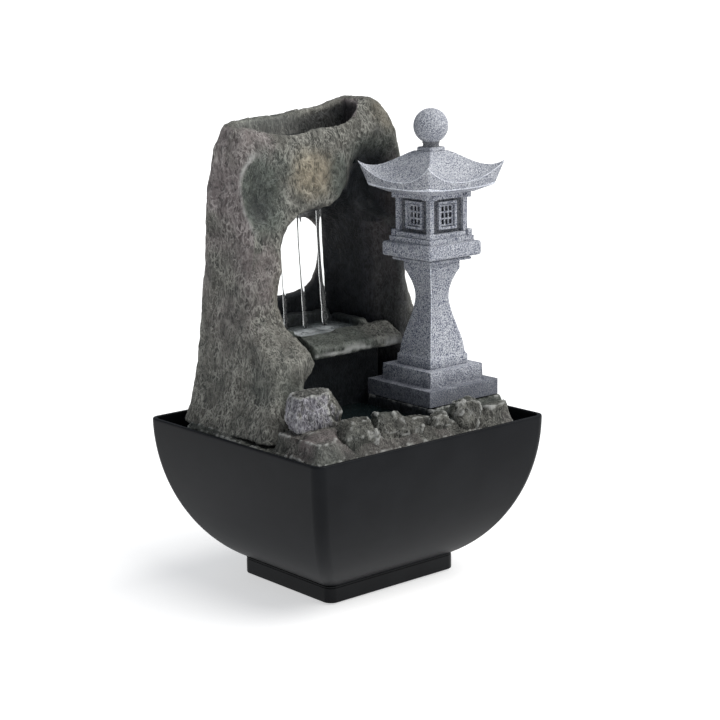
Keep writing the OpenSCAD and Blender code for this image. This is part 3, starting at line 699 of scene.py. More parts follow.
def metal_mat(name, col, rough, rings=None):
    k = Mat(name, rough, Metallic=1.0)
    co = k.tc
    s = k.scaled(co, rings or (1, 1, 1))
    n = k.noise(s, 900, 3.0, 0.6)
    k.colour(k.mix(n, tuple(c * 0.8 for c in col), col))
    k.rough(k.f("ADD", rough, k.f("MULTIPLY", n, 0.15)))
    k.bump(n, 0.03, 0.5)
    return k.m


M_ROCK = rock_mat("rock_paint", dry=0.98, tone=0.70)
M_BASE = rock_mat("rock_base_paint", dry=0.46, tone=0.25)
M_LILAC = rock_mat("rock_boulder_paint", dry=0.72, tone=0.36, lilac=1.0)
M_GRAN = granite_mat("granite")
# a paler copy of the granite for the arrises: painted highlight
M_GRAN_HIGHLIGHT = granite_mat("granite_painted_highlight", 1.75, 0.45)
# a dark copy of the granite: painted shade under the finial's ball, and dark paint with painted shade in the firebox's
# recesses
M_GRAN_DARK = granite_mat("granite_recess", 0.32)
# dark paint of the blind window recesses, partly painted shade
M_DARK = plastic_mat("dark_recess_paint_and_shade", (0.010, 0.010, 0.014), 0.8, 0.05, 1500, spec=0.1)
M_BOWL = plastic_mat("bowl_plastic", (0.0042, 0.0048, 0.0062), 0.44, 0.02, 1800, spec=0.10)
M_FOOT = plastic_mat("foot_plastic", (0.0028, 0.0033, 0.0043), 0.32, 0.015, 1800, spec=0.14)
M_PUMP = plastic_mat("pump_plastic", (0.018, 0.019, 0.021), 0.45, 0.05)
M_GREY = plastic_mat("grey_plastic", (0.075, 0.078, 0.082), 0.42, 0.04)
M_PALE = plastic_mat("impeller_plastic", (0.62, 0.62, 0.58), 0.35, 0.02)
M_RUBBER = plastic_mat("rubber", (0.020, 0.020, 0.021), 0.75, 0.08, 1500, spec=0.3)
M_STEEL = metal_mat("shaft_steel", (0.72, 0.72, 0.74), 0.18, (1, 0.1, 1))
M_CORE = metal_mat("core_steel", (0.42, 0.42, 0.44), 0.38, (0.05, 8, 0.05))
M_COPPER = metal_mat("coil_copper", (0.80, 0.38, 0.18), 0.28, (1, 14, 1))
M_MAGNET = plastic_mat("magnet", (0.05, 0.05, 0.055), 0.5, 0.06, 1800)


def vinyl_mat():
    k = Mat("clear_vinyl", 0.18, IOR=1.5, Transmission_Weight=0.72)
    n = k.noise(k.tc, 300, 2.0, 0.5)
    k.colour(k.mix(n, (0.80, 0.86, 0.88), (0.90, 0.94, 0.95)))
    k.bump(n, 0.05, 0.4)
    return k.m


def water_mat(name, tint, trans=1.0, rough=0.02, ripple=0.12, scale=(1, 1, 1)):
    k = Mat(name, rough, IOR=1.333, Transmission_Weight=trans)
    n = k.noise(k.scaled(k.tc, scale), 130, 3.0, 0.5, 0.4)
    k.colour(k.mix(n, tint, tuple(min(1, c * 1.06) for c in tint)))
    k.bump(n, ripple, 0.6)
    return k.m


M_VINYL = vinyl_mat()
def basin_mat():
    k = Mat("basin_water", 0.08, IOR=1.333, Transmission_Weight=0.35)
    n = k.noise(k.tc, 260, 3.0, 0.6, 0.5)
    # white foam where the threads land, partly a painted reflection of the bright opening
    foam_and_reflection = k.f("MULTIPLY", k.attr("foam_and_reflection"), k.step(n, 0.18, 0.52), clamp=True)
    k.colour(k.mix(foam_and_reflection, k.mix(n, (0.09, 0.105, 0.105), (0.16, 0.18, 0.18)), (0.80, 0.84, 0.85)))
    k.rough(k.lerp(foam_and_reflection, 0.05, 0.45))
    k.bump(n, 0.4, 0.7)
    return k.m


M_STREAM = water_mat("falling_water", (0.93, 0.95, 0.95), ripple=0.25, scale=(1, 1, 0.12))
M_POOL = water_mat("pool_water", (0.009, 0.016, 0.017), trans=0.35, rough=0.05, ripple=0.15)
M_BASIN = basin_mat()


def give(obj, *mats):
    obj.data.materials.clear()
    for mm in mats:
        obj.data.materials.append(mm)
    return obj


# ------------------------------------------------------------------ rock
OUT = [(-75.4, -68.4), (59.4, -68.4), (71.4, -53.4), (71.4, 39.4), (63.4, 55.4), (-65.4, 56.4), (-75.4, 47.4)]


def slab_outer(g):
    """The upright slab before anything is cut from it, and its front face."""
    X, Y, Z = g.x, g.y, g.z
    xl = ip(Z, [(70, -75), (88, -72), (100, -66), (112, -64), (125, -62.5), (143, -61.5), (165, -61), (192, -60.5), (215, -61.2), (235, -61.6), (248, -59.5), (258, -55)])
    xr = ip(Z, [(88, 62), (100, 61), (125, 59.5), (139, 57.5), (150, 53), (158, 51), (190, 50.5), (228, 49.5), (240, 48.5), (250, 46), (258, 42)])
    yf = ip(Z, [(88, 1.5), (200, 1.5), (224, 4), (240, 7), (248, 10), (258, 13)])
    yb_l = ip(Z, [(70, 59), (98, 57), (137, 53), (159, 51), (208, 44), (229, 39), (248, 31), (258, 28)])
    yb_r = ip(Z, [(70, 56), (98, 54), (137, 51.5), (159, 50), (208, 46), (229, 44), (248, 43), (258, 42)])
    w = np.clip((X + 60) / 110, 0, 1)
    yb = yb_l * (1 - w) + yb_r * w
    r = 10.0
    qx = np.abs(X - (xl + xr) / 2) - ((xr - xl) / 2 - r)
    qy = np.abs(Y - (yf + yb) / 2) - ((yb - yf) / 2 - r)
    d = np.sqrt(np.maximum(qx, 0) ** 2 + np.maximum(qy, 0) ** 2) + np.minimum(np.maximum(qx, qy), 0) - r
    F = ip(X, [(-64, 244.5), (-58, 246), (-51, 246), (-39, 244), (-27, 243), (-17, 243), (-10, 244.5), (3, 245), (11, 246.5), (19, 249), (23, 255), (30, 258.5), (36, 257), (44, 251), (50, 245), (54, 236)])
    B = ip(X, [(-64, 245), (-58, 248), (-50, 250), (-20, 251), (-8, 251.5), (8, 253.5), (20, 256), (30, 258.5), (38, 258.5), (44, 256), (52, 250), (58, 240)])
    t = ss(10, 28, Y)
    top = Z - (F * (1 - t) + B * t)
    return smax(d, top, 4.5), yf


def tunnel(g):
    t = np.clip(g.y / 46.0, 0, 1)
    cx, cz = 1 - 13 * t, 165 + 9 * t
    ax, az = 40 - 9 * t, 40 - 25 * t
    # open right down to the pool in front; at the back it stops above the low wall
    az_low = 24 + 220 * (1 - ss(35, 42, g.y))
    u = (g.x - cx) / ax
    # its crown climbs to the right, into the scoop
    rise = 13 * ss(-7, 14, g.x) * (1 - 0.8 * t)
    v = np.where(g.z > cz, (g.z - cz) / (az + rise), (g.z - cz) / az_low)
    return (superel(u, v, 3.0) - 1) * np.minimum(ax, az)


def scoop(x, z):
    """Depth of the soft scoop behind the lantern's roof: nothing at the top, deeper and deeper downwards."""
    return 20.0 * ss(0, 27, x) * (1 - ss(37, 50, x)) * (1 - ss(205, 247, z)) * ss(184, 202, z)


def tower_field(g):
    outer, yf = slab_outer(g)
    f = outer + 1.0 * g.noise(26, 11) + 0.7 * g.noise(13, 12)
    tun = tunnel(g) + 0.8 * g.noise(16, 15)
    nic = yf + scoop(g.x, g.z) - g.y + 0.7 * g.noise(17, 16) * (scoop(g.x, g.z) > 0.5)
    f = smax(f, nic, 3)
    f = smax(f, -tun, 3.6)
    # broad foot of the left pillar and the elbow on it
    foot = prism(g, [(88, [(-67, -19), (-50, -19), (-43, 0), (-41, 44), (-65, 46)], 6), (112, [(-59, -15), (-48, -15), (-42, 0), (-41, 44), (-58, 46)], 6), (128, [(-57, -9), (-46, -11), (-41, 0), (-41, 40), (-56, 44)], 6), (146, [(-55, 9), (-46, 8), (-43, 36), (-54, 40)], 6)])
    elbow = prism(g, [(113, [(-55, -14), (-48, -13), (-45, 0), (-52, 2)], 4), (119.5, [(-52, -14), (-37, -10), (-36, 0), (-48, 2)], 4), (124, [(-51, -14), (-33.5, -9), (-34, 0), (-48, 2)], 4), (130, [(-50, -9), (-36, -8), (-36, 0), (-48, 2)], 4), (145, [(-53, 3), (-46, 3), (-46, 8), (-53, 8)], 4)])
    f = smin(f, foot + 0.8 * g.noise(13, 21), 5)
    f = smin(f, elbow + 0.8 * g.noise(10, 22), 3.5)
    # mossy hollow at the upper corner of the left pillar, and a shallow one lower down
    f = smax(f, -ellipsoid(g, (-53, -10.5, 216), (20.5, 20, 28)), 2.4)
    f = smax(f, -ellipsoid(g, (-40, -9.0, 158), (14, 14, 17)), 4)
    f = smax(f, -ellipsoid(g, (32, 4.5, 240.5), (2.8, 3.4, 2.6)), 1.0)
    # long basin in the top
    hw = ip(g.x, [(-56, 1.0), (-50, 4.0), (-38, 6.6), (-20, 7.8), (0, 8.4), (14, 8.6), (22, 7.5), (27, 4)])
    yc = ip(g.x, [(-56, 19), (-20, 19.2), (14, 21.5), (27, 23)])
    lane = np.maximum(np.abs(g.y - yc) - hw, np.maximum(-54.5 - g.x, g.x - 25.0))
    floor = 224.0 + 0.25 * np.maximum(-30 - g.x, 0)
    basin = smax(lane + 0.35 * g.noise(9, 31), floor - g.z, 3.0)
    f = smax(f, -basin, 2.2)
    # round passage of the riser pipe, and the hollow right pillar
    pipe = np.maximum(np.sqrt((g.x + 50) ** 2 + (g.y - 18) ** 2) - 5.6, g.z - 232)
    f = np.maximum(f, -pipe)
    hollow = prism(g, [(87, [(34, 37), (44, 24), (50, 24), (50, 37)], 2), (188, [(36, 36), (41, 26), (43, 26), (42, 36)], 2)])
    f = np.maximum(f, -hollow)
    # room for the shelf's own block
    f = np.maximum(f, 88.0 - g.z)
    return f, outer


def paint(p, n, cav, depth_shade, kind):
    """Painted masks at points p (mm) with normals n."""
    x, y, z = p.T
    w1 = vnoise(p, 24, 71)
    w2 = vnoise(p, 11, 72)
    moss = np.zeros(len(p))
    mauve = np.zeros(len(p))
    tan = np.zeros(len(p))
    pale_paint_and_highlight = np.zeros(len(p))

    def blob(c, r, soft=0.5):
        d = np.sqrt((((p - c) / r) ** 2).sum(1)) + 0.22 * w1 + 0.14 * w2
        return 1 - ss(1 - soft, 1 + soft * 0.4, d)

    if kind == "tower":
        moss = np.maximum(moss, blob((-47, 4, 212), (13, 15, 24)))
        moss = np.maximum(moss, 0.6 * blob((-40, 4, 226), (12, 14, 10)))
        moss = np.maximum(moss, 0.8 * blob((28, 8, 228), (19, 20, 15)))
        moss = np.maximum(moss, 0.95 * blob((5, 2, 217), (11, 10, 17)))
        moss = np.maximum(moss, 0.7 * blob((-54, -10, 112), (12, 20, 16)))
        moss = np.maximum(moss, 0.55 * blob((-30, 20, 250), (26, 16, 8)))
        moss = np.maximum(moss, 0.6 * ss(0.1, 0.7, w1) * ss(0.2, 0.8, n[:, 1]))
        left = ss(0.35, 0.8, -n[:, 0])
        mauve = np.maximum(mauve, 0.85 * left * ss(120, 190, z + 16 * w1) * ss(-0.5, 0.4, w1 + 0.5 * w2 + 0.45))
        mauve = np.maximum(mauve, 0.7 * blob((-52, 8, 236), (14, 14, 14)))
        mauve = np.maximum(mauve, 0.6 * blob((-50, -4, 170), (12, 16, 26)) * (w2 > -0.6))
        mauve = np.maximum(mauve, 0.5 * ss(0.0, 0.6, w1) * ss(0.2, 0.8, n[:, 1]))
        tan = np.maximum(tan, 0.85 * blob((-16, 2, 222), (17, 16, 13), 0.8))
        tan = np.maximum(tan, 0.3 * blob((-36, -6, 158), (12, 18, 24), 0.8))
        tan = np.maximum(tan, 0.35 * blob((40, 8, 250), (14, 16, 12)))
        near = np.sqrt((((p - (-53, -10.5, 216)) / (20.5, 20, 28)) ** 2).sum(1)) + 0.03 * w2
        depth = -sample(g_tower, f_outer, p)
        # painted highlight along the rim of the mossy hollow, and a paler band in the left end of the top basin
        pale_paint_and_highlight = 0.75 * np.exp(-(((depth - 0.8 - 0.4 * w2) / 0.5) ** 2)) * (1 - ss(1.05, 1.13, near)) * ss(-46, -52, x) * ss(-0.8, 0.0, w1 + 0.2)
        pale_paint_and_highlight = np.maximum(pale_paint_and_highlight, 0.22 * ss(0.5, 2.0, depth) * (z > 226) * (y > 14) * (y < 31) * (1 - ss(-22, 4, x)))
        moss = np.maximum(moss, (1 - ss(1.02, 1.10, near)) * ss(0.5, 2.0, depth))
        mauve *= 1 - tan
    if kind == "base":
        moss = 0.75 * ss(-0.4, 0.5, w1)
        mauve = np.maximum(0.2 * ss(0.1, 0.7, w2), 0.6 * blob((-66, -60, 94), (20, 12, 14)))
        # painted highlight on the high spots
        pale_paint_and_highlight = 0.65 * ss(0.65, 1.3, cav + 0.3 * w2)
    if kind == "shelf":
        moss = 0.85 * ss(-0.9, 0.2, w1)
        # painted highlight along the lower front edge of the lip
        edge = np.exp(-(((z - 126.4 - 0.8 * w2) / 2.1) ** 2)) * ss(-0.1, 0.4, -n[:, 1]) * ss(-4.5, -6, y)
        pale_paint_and_highlight = 1.0 * edge * ss(-0.3, 0.35, vnoise(p, 3.0, 75, (1.6, 1, 0.7)))
    if kind == "left":
        mauve = ss(-0.6, 0.0, -n[:, 0] - 0.3 + 0.3 * w2)
        flat_top = ss(0.40, 0.78, n[:, 2])
        mauve *= 1 - 0.9 * flat_top
        # painted highlight on the high spots and edges, with pale veins below
        convex_highlight = 0.70 * ss(0.50, 1.15, cav + 0.25 * w2)
        cav = cav - 0.55 * flat_top
        pale_paint_and_highlight = 0.75 * ss(0.80, 1.0, 1 - np.abs(vnoise(p, 6.5, 77)) * 2.2) * ss(0.1, 0.6, -n[:, 0] - n[:, 1]) * ss(-0.4, 0.3, w2)
        pale_paint_and_highlight = np.maximum(pale_paint_and_highlight, convex_highlight)
    if kind == "loose":
        moss = 0.7 * ss(-0.5, 0.4, w1)
        # pale veins, and painted highlight on the high spots
        pale_paint_and_highlight = 0.6 * ss(0.82, 1.0, 1 - np.abs(vnoise(p, 7.5, 78)) * 2.4) * ss(-0.2, 0.4, w2)
        pale_paint_and_highlight = np.maximum(pale_paint_and_highlight, 0.6 * ss(0.5, 1.25, cav + 0.3 * w2))
    return {"moss": moss, "mauve": mauve, "tan": tan, "pale_paint_and_highlight": pale_paint_and_highlight, "depth_shade": depth_shade, "cav": cav}


def rock_piece(name, g, f, kind, mats, depth_shade_of=None, amp=1.0, limit=None, cut=0.0):
    p, q = nets(f, g)
    p = p + 0.5 * (relax(p, q) - p)
    p = p - 0.35 * (relax(p, q) - p)
    n = vert_normals(p, q)
    wob = np.stack([vnoise(p, 9, 91 + k) for k in range(3)], 1) * 3.0
    c1, e1 = chips(p + wob, 12.0, 101, (1, 1, 1.4))
    c2, e2 = chips(p + wob * 0.6, 5.2, 121, (1, 1, 1.5))
    d = (0.42 + cut) * c1 + (0.20 + 0.5 * cut) * c2 + 0.30 * vnoise(p, 6.5, 131, (1, 1, 1.5)) + 0.26 * vnoise(p, 2.9, 133, (0.8, 0.8, 2.2)) + 0.16 * vnoise(p, 1.7, 135, (0.8, 0.8, 1.6))
    d -= 0.12 * (1 - ss(0, 0.16, e1)) + 0.06 * (1 - ss(0, 0.2, e2))
    depth_shade = depth_shade_of(p, n) if depth_shade_of else np.zeros(len(p))
    d = d * amp * (1 - 0.35 * depth_shade)
    p2 = p + n * (d - 0.2 * amp)[:, None]
    if limit is not None:
        p2 = limit(p2)
    # height above a smoothed copy of the surface: it drives the painted shade in the cavities and the light on the
    # high spots, partly painted highlight
    sm = relax(p2, q, 5)
    n2 = vert_normals(p2, q)
    cav = ((p2 - sm) * n2).sum(1)
    cav = cav / (np.abs(cav).mean() * 2.5 + 1e-9)
    obj = mesh_np(name, p2, q)
    for key, val in paint(p2, n2, np.clip(cav, -1.5, 1.5), depth_shade, kind).items():
        float_attr(obj, key, val)
    give(obj, *mats)
    return obj


def clear_of_bowl(p):
    """Keeps the part of a rock that stands inside the bowl clear of the bowl's wall."""
    z = np.clip(p[:, 2], 60, 88.5)
    ins = 50 * (1 - np.sqrt(1 - ((88.7 - z) / 82) ** 2))
    out = p.copy()
    below = p[:, 2] < 91.5
    hx, hy = 80 - ins - 2.4 - 0.7, 73 - ins - 2.4 - 0.7
    out[:, 0] = np.where(below, np.clip(p[:, 0], -hx, hx), p[:, 0])
    out[:, 1] = np.where(below, np.clip(p[:, 1], -hy, hy), p[:, 1])
    return out


g_tower = Grid((-80, -34, 84), (70, 66, 266), 1.0)
f_tower, f_outer = tower_field(g_tower)


def sample(g, f, p):
    q = (p - g.lo) / g.h
    q = np.clip(q, 0, np.array(f.shape) - 1.001)
    i = q.astype(int)
    t = q - i
    out = 0
    for a in (0, 1):
        for b in (0, 1):
            for c in (0, 1):
                w = (t[:, 0] if a else 1 - t[:, 0]) * (t[:, 1] if b else 1 - t[:, 1]) * (t[:, 2] if c else 1 - t[:, 2])
                out = out + w * f[i[:, 0] + a, i[:, 1] + b, i[:, 2] + c]
    return out


# painted shade: how far each point lies inside the tunnel, the scoop, the top basin's slot and the other hollows
def tower_depth_shade(p, n):
    x, y, z = p.T
    depth = -sample(g_tower, f_outer, p)
    yf = np.interp(z, [88, 200, 224, 240, 258], [1.5, 1.5, 4, 7, 13])
    d = ss(2.0, 8.0, depth) * ss(2.0, 15.0, y - yf) * (z < 240)
    # the front of the hollow right pillar takes a little light
    d *= 1 - 0.38 * ss(18, 36, x) * ss(214, 196, z) * ss(26, 8, y)
    # painted shade in the scoop behind the lantern's roof, darker downwards
    d = np.maximum(d, ss(2.0, 15.0, scoop(x, z) + 0.25 * (228 - z)) * ss(8, 30, x) * ss(1.0, 12.0, depth) * ss(238, 206, z) * (z > 190))
    # painted shade at the bottom of the mossy hollow
    d = np.maximum(d, 0.50 * ss(1.5, 5.0, depth) * ss(-38, -46, x) * ss(222, 200, z) * (z > 176) * (y < 12))
    # painted shade on the inner side of the right pillar
    d = np.maximum(d, 0.66 * ss(28, 35, x) * ss(0.1, -0.4, n[:, 0] + n[:, 1]) * ss(216, 198, z) * (1 - 0.45 * ss(44, 51, x)))
    d = np.maximum(d, np.exp(-(((x - 32) ** 2 + (y - 6) ** 2 + (z - 240.5) ** 2) / 6.5)))
    # painted shade below the shelf
    d = np.maximum(d, ss(-38, -30, x) * ss(122, 112, z) * ss(-4, 2, y) * ss(1.0, 5.0, depth))
    slot = ss(1.0, 5.0, depth) * (z > 221) * ss(1.0, 3.0, y - yf - scoop(x, z)) * (y > 11) * (y < 31) * ss(-34, 12, x)
    return np.clip(np.maximum(d, 0.62 * slot), 0, 1)


tower = rock_piece("tower_rock", g_tower, f_tower, "tower", [M_ROCK], tower_depth_shade, limit=clear_of_bowl)
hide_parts("rock_tower")
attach(tower, "sculpture")

# base plate with its raised, stony edge
g_base = Grid((-80, -73, 66), (78, 62, 104), 1.0)


def base_field(g):
    X, Y, Z = g.x, g.y, g.z
    pts = [(-70, -63), (54, -63), (66, -48), (66, 34), (58, 50), (-60, 51), (-70, 42)]
    f = prism(g, [(70.2, [(a * 0.992, b * 0.992) for a, b in pts], 5.2), (87.6, pts, 5.2)]) + 0.4 * g.noise(9, 41)
    lumps = [
        [(86, [(-70, -63), (-59, -63), (-59, -33), (-70, -33)], 4), (96.5, [(-67, -58), (-61, -58), (-61, -33), (-67, -33)], 4)],
        [(86, [(-64, -57), (-40, -57), (-38, -33), (-63, -33)], 5), (98.5, [(-61, -50), (-42, -49), (-40, -35), (-61, -35)], 4)],
        [(86, [(-62, -64), (54, -64), (54, -55), (-62, -55)], 4), (93.5, [(-56, -59), (48, -60), (50, -56), (-58, -55)], 4)],
        [(86, [(-46, -53), (12, -53), (12, -47), (-46, -47)], 4), (96.5, [(-43, -51), (11, -51), (11, -48), (-43, -48)], 3)],
        [(86, [(60, -42), (67, -42), (67, 34), (60, 34)], 4), (92, [(62, -38), (66, -38), (66, 32), (62, 32)], 3)],
        [(86, [(43, -64), (57, -64), (57, -55), (43, -55)], 4), (97, [(47, -61), (56, -60), (55, -56), (47, -56)], 4)],
        [(86, [(-71, 8), (-69, 8), (-69, 44), (-71, 44)], 2.6), (90, [(-71, 10), (-70, 10), (-70, 42), (-71, 42)], 2)],
    ]
    for lv in lumps:
        f = smin(f, prism(g, lv) + 1.1 * g.noise(7, 43), 3.5)
    pad = prism(g, [(86, [(16.5, -53), (66, -53), (66, -1.6), (16.5, -1.6)], 2.4), (98.1, [(17.2, -49.5), (65, -49.5), (65, -1.8), (17.2, -1.8)], 2.0)])
    f = smin(f, pad, 2.0)
    hollow = prism(g, [(66, pts, 0.4), (79.8, pts, 0.4)])
    f = smax(f, -hollow, 1.0)
    slot = seg_sd(X, Y, [(-50, 18), (-42, 11)]) - 7.6
    f = np.maximum(f, -slot)
    for a, b in ((-16, -30), (-4, -34), (-24, -20)):
        f = np.maximum(f, -(np.sqrt((X - a) ** 2 + (Y - b) ** 2) - 3.0))
    return f


# painted shade on the faces that look down and in the gap beside the lantern's pad
base = rock_piece("base_rock", g_base, base_field(g_base), "base", [M_BASE], lambda p, n: np.clip(0.55 * ss(-0.2, -0.8, n[:, 2]) + 0.85 * ss(20, 16.5, p[:, 0]) * ss(10, 14, p[:, 0]) * (p[:, 1] > -52) * (p[:, 1] < 2) * (p[:, 2] > 89), 0, 1), amp=1.15, limit=clear_of_bowl)
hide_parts("rock_base")
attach(base, "sculpture")

# shelf with the middle basin and its lip
g_shelf = Grid((-42, -16, 84), (42, 46, 146), 0.9)


def shelf_field(g):
    f = prism(g, [(88, [(-30, 9), (26, 9), (22, 30), (14, 38), (-30, 38)], 3), (129, [(-31, 9), (28, 9), (22, 30), (16, 36), (-31, 38)], 3)])
    # thick sloping lip
    sect = [(-5.6, 126.0), (3.0, 125.6), (9.5, 126.0), (9.5, 133.6), (5.2, 133.8), (-5.9, 129.0)]
    lip = np.maximum(poly_sd(g.y[0], g.z[0], sect)[None] - 1.9, np.maximum(-27 - g.x, g.x - 35.0))
    f = smin(f, lip + 0.55 * g.noise(11, 51), 2.5)
    back = prism(g, [(125, [(-30, 36), (18, 36)], 4.2), (141, [(-30, 36), (14, 36)], 3.2)])
    side = np.minimum(prism(g, [(125, [(-31, 10), (-31, 34)], 3.0), (138, [(-31, 10), (-31, 34)], 2.4)]), prism(g, [(125, [(20.5, 10), (20.5, 32)], 3.0), (138, [(20.5, 10), (20.5, 32)], 2.4)]))
    f = smin(f, np.minimum(back, side) + 0.6 * g.noise(8, 53), 2.5)
    bowl = np.maximum(rrect_sd(g.x, g.y, -28, 18, 9.0, 33, 5), 122.5 - g.z)
    f = smax(f, -bowl, 2.0)
    notch = np.maximum(np.maximum(np.abs(g.x + 14) - 12, np.abs(g.y - 6) - 6), 134.6 - g.z)
    f = smax(f, -notch, 1.4)
    q = Grid(g.lo, g.lo + (np.array(g.n) - 1) * g.h, g.h)
    tf, _ = tower_field(q)
    return smax(f, -(tf + 0.9), 0.6)


# painted shade under the lip and towards the back of the middle basin
shelf = rock_piece("shelf_rock", g_shelf, shelf_field(g_shelf), "shelf", [M_ROCK], lambda p, n: np.clip(ss(125.2, 122.5, p[:, 2]) * 1.0 + ss(10, 18, p[:, 1]) * 0.7, 0, 1), amp=0.7)
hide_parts("cascade_shelf")
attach(shelf, "sculpture")


def boulder(name, nodes, blocks, kind, mat, seed, h=0.8):
    allp = np.array([(a + s * (r + 4), b + s * (r + 4), z) for lv in blocks for z, pts, r in lv for a, b in pts for s in (-1, 1)])
    zs = [z for lv in blocks for z, _, _ in lv]
    g = Grid((allp[:, 0].min(), allp[:, 1].min(), min(zs) - 4), (allp[:, 0].max(), allp[:, 1].max(), max(zs) + 6), h)
    f = None
    for lv in blocks:
        d = prism(g, lv) + 0.9 * g.noise(9, seed) + 0.3 * g.noise(4.5, seed + 1)
        f = d if f is None else np.minimum(f, d)
    o = rock_piece(name, g, f, kind, [mat], amp=0.9, limit=clear_of_bowl, cut=0.75)
    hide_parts(*nodes)
    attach(o, "sculpture")
    return o


boulder("left_boulder", ["boulder_left"], [[(97, [(-64, -41), (-45, -44), (-41, -34), (-62, -31)], 3.0), (106, [(-66, -41), (-44, -44), (-39.5, -34), (-63, -31)], 3.4), (115.5, [(-62, -38), (-49, -40), (-44, -34.5), (-60, -32)], 2.4)]], "left", M_LILAC, 201)
boulder("front_boulder", ["boulder_front"], [[(88, [(-50, -61.5), (-35, -62.5), (-34, -56), (-49, -56)], 3), (96, [(-50, -61), (-35, -62), (-34, -55), (-50, -55)], 3.2), (103.5, [(-45, -58), (-38, -58.5), (-37, -55), (-46, -55)], 2.4)]], "loose", M_BASE, 211)
boulder("slab_boulder", ["boulder_slab"], [[(88, [(-29, -62), (0, -62.5), (1, -56), (-28, -56)], 3), (95, [(-29, -61), (-3, -62), (-1, -56), (-29, -55)], 3.0), (104, [(-27, -57), (-20, -58), (-17, -55), (-26, -55)], 1.6)]], "loose", M_BASE, 221)
boulder("right_boulders", ["boulders_right"], [[(88, [(8, -62), (17, -62), (17, -59), (8, -59)], 3), (94, [(8, -61), (16, -61), (16, -59), (8, -59)], 3.2), (98.5, [(10, -60.5), (14, -60.5), (13, -59), (10, -59)], 2.6)], [(88, [(25, -63), (36, -63), (36, -59), (25, -59)], 3), (97, [(24, -62), (37, -62), (37, -59), (24, -59)], 3.4), (103.5, [(27, -61), (34, -61), (34, -59), (28, -59)], 2.6)]], "loose", M_BASE, 231)

# ------------------------------------------------------------------ lantern
LX, LY = 41.0, -24.5


def sq_ring(hx, z, r=1.0, n=6, cx=LX, cy=LY, hy=None, bulge=0.0):
    """A square ring with rounded corners; each side has a few points so that it can bend."""
    hy = hx if hy is None else hy
    pts = []
    for sx, sy, a0 in ((1, -1, -90), (1, 1, 0), (-1, 1, 90), (-1, -1, 180)):
        for i in range(n + 1):
            a = math.radians(a0 + 90 * i / n)
            pts.append((sx * (hx - r) + r * math.cos(a), sy * (hy - r) + r * math.sin(a)))
        # straight run to the next corner
        nx, ny = {(1, -1): (1, 1), (1, 1): (-1, 1), (-1, 1): (-1, -1), (-1, -1): (1, -1)}[(sx, sy)]
        a = math.radians(a0 + 90)
        p0 = np.array([sx * (hx - r) + r * math.cos(a), sy * (hy - r) + r * math.sin(a)])
        p1 = np.array([nx * (hx - r) + r * math.cos(a), ny * (hy - r) + r * math.sin(a)])
        for i in range(1, 8):
            pts.append(tuple(p0 + (p1 - p0) * i / 8))
    return np.array([(cx + x, cy + y, z) for x, y in pts])


def sq_loft(name, profile, r=0.9, **kw):
    """profile is (half width, height) from bottom to top."""
    return loft(name, [sq_ring(h, z, min(r, h * 0.45)) for h, z in profile], **kw)


def stone(obj, node, amp=0.05, edges=True):
    give(obj, M_GRAN, M_GRAN_HIGHLIGHT)
    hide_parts(*([node] if isinstance(node, str) else node))
    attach(obj, "sculpture")
    return obj


def join(name, objs):
    bm = bmesh.new()
    for o in objs:
        bm.from_mesh(o.data)
        bpy.data.objects.remove(o)
    return from_bm(name, bm)


# stepped foot
bm = bmesh.new()
base_steps = box_obj("lantern_steps", LX - 25.1, LX + 25.1, LY - 25.1, LY + 25.1, 98.2, 106.9)
upper = loft("tmp", [sq_ring(h, z, 0.35, 2) for h, z in ((19.9, 106.5), (19.8, 107.4), (19.4, 108.6), (19.2, 115.4))], smooth=False)
base_steps = boolean(base_steps, upper, "UNION")
# the bevel faces take the paler granite: painted highlight on the arrises
bevel(base_steps, 0.8, 3, 40, mat=1)
stone(base_steps, "lantern_base")

# waisted pillar
prof = [(13.6, 115.3), (13.75, 115.7), (13.75, 120.3), (13.6, 120.8), (13.0, 121.1), (12.85, 121.6)]
zz = np.linspace(122.2, 165.6, 34)
hh = np.interp(zz, [121, 126, 129, 134, 138.5, 142, 145, 148, 151, 154, 157.6, 160, 162, 165, 166.2], [12.8, 12.3, 11.75, 10.4, 9.15, 8.2, 7.5, 6.95, 6.6, 6.55, 7.1, 7.75, 8.4, 9.6, 10.1])
for _ in range(3):
    hh[1:-1] = (hh[:-2] + 2 * hh[1:-1] + hh[2:]) / 4
prof += [(float(h), float(z)) for h, z in zip(hh, zz)]
prof += [(10.35, 166.6), (10.75, 167.2), (10.85, 167.9), (10.85, 170.7), (10.7, 171.1)]
pillar = sq_loft("lantern_column", prof, 0.9)
stone(pillar, "lantern_pillar")
# the rounded corners take the paler granite: painted highlight
for poly in pillar.data.polygons:
    if abs(abs(poly.normal.x) - abs(poly.normal.y)) < 0.45 and abs(poly.normal.z) < 0.8:
        poly.material_index = 1

# platform
plat = box_obj("lantern_deck", LX - 19.1, LX + 19.1, LY - 19.1, LY + 19.1, 174.8, 182.6)
bevel(plat, 1.5, 4, 40)
under = loft("tmp", [sq_ring(h, z, 0.8, 3) for h, z in ((10.9, 171.0), (10.9, 172.2), (14.9, 172.5), (15.2, 172.8), (15.2, 173.7), (14.5, 173.9), (14.5, 174.3), (15.6, 174.5), (15.7, 175.6))], smooth=False)
plat = boolean(plat, under, "UNION")
# the bevel faces take the paler granite: painted highlight on the arrises
bevel(plat, 0.3, 2, 40, mat=1)
stone(plat, "lantern_platform")

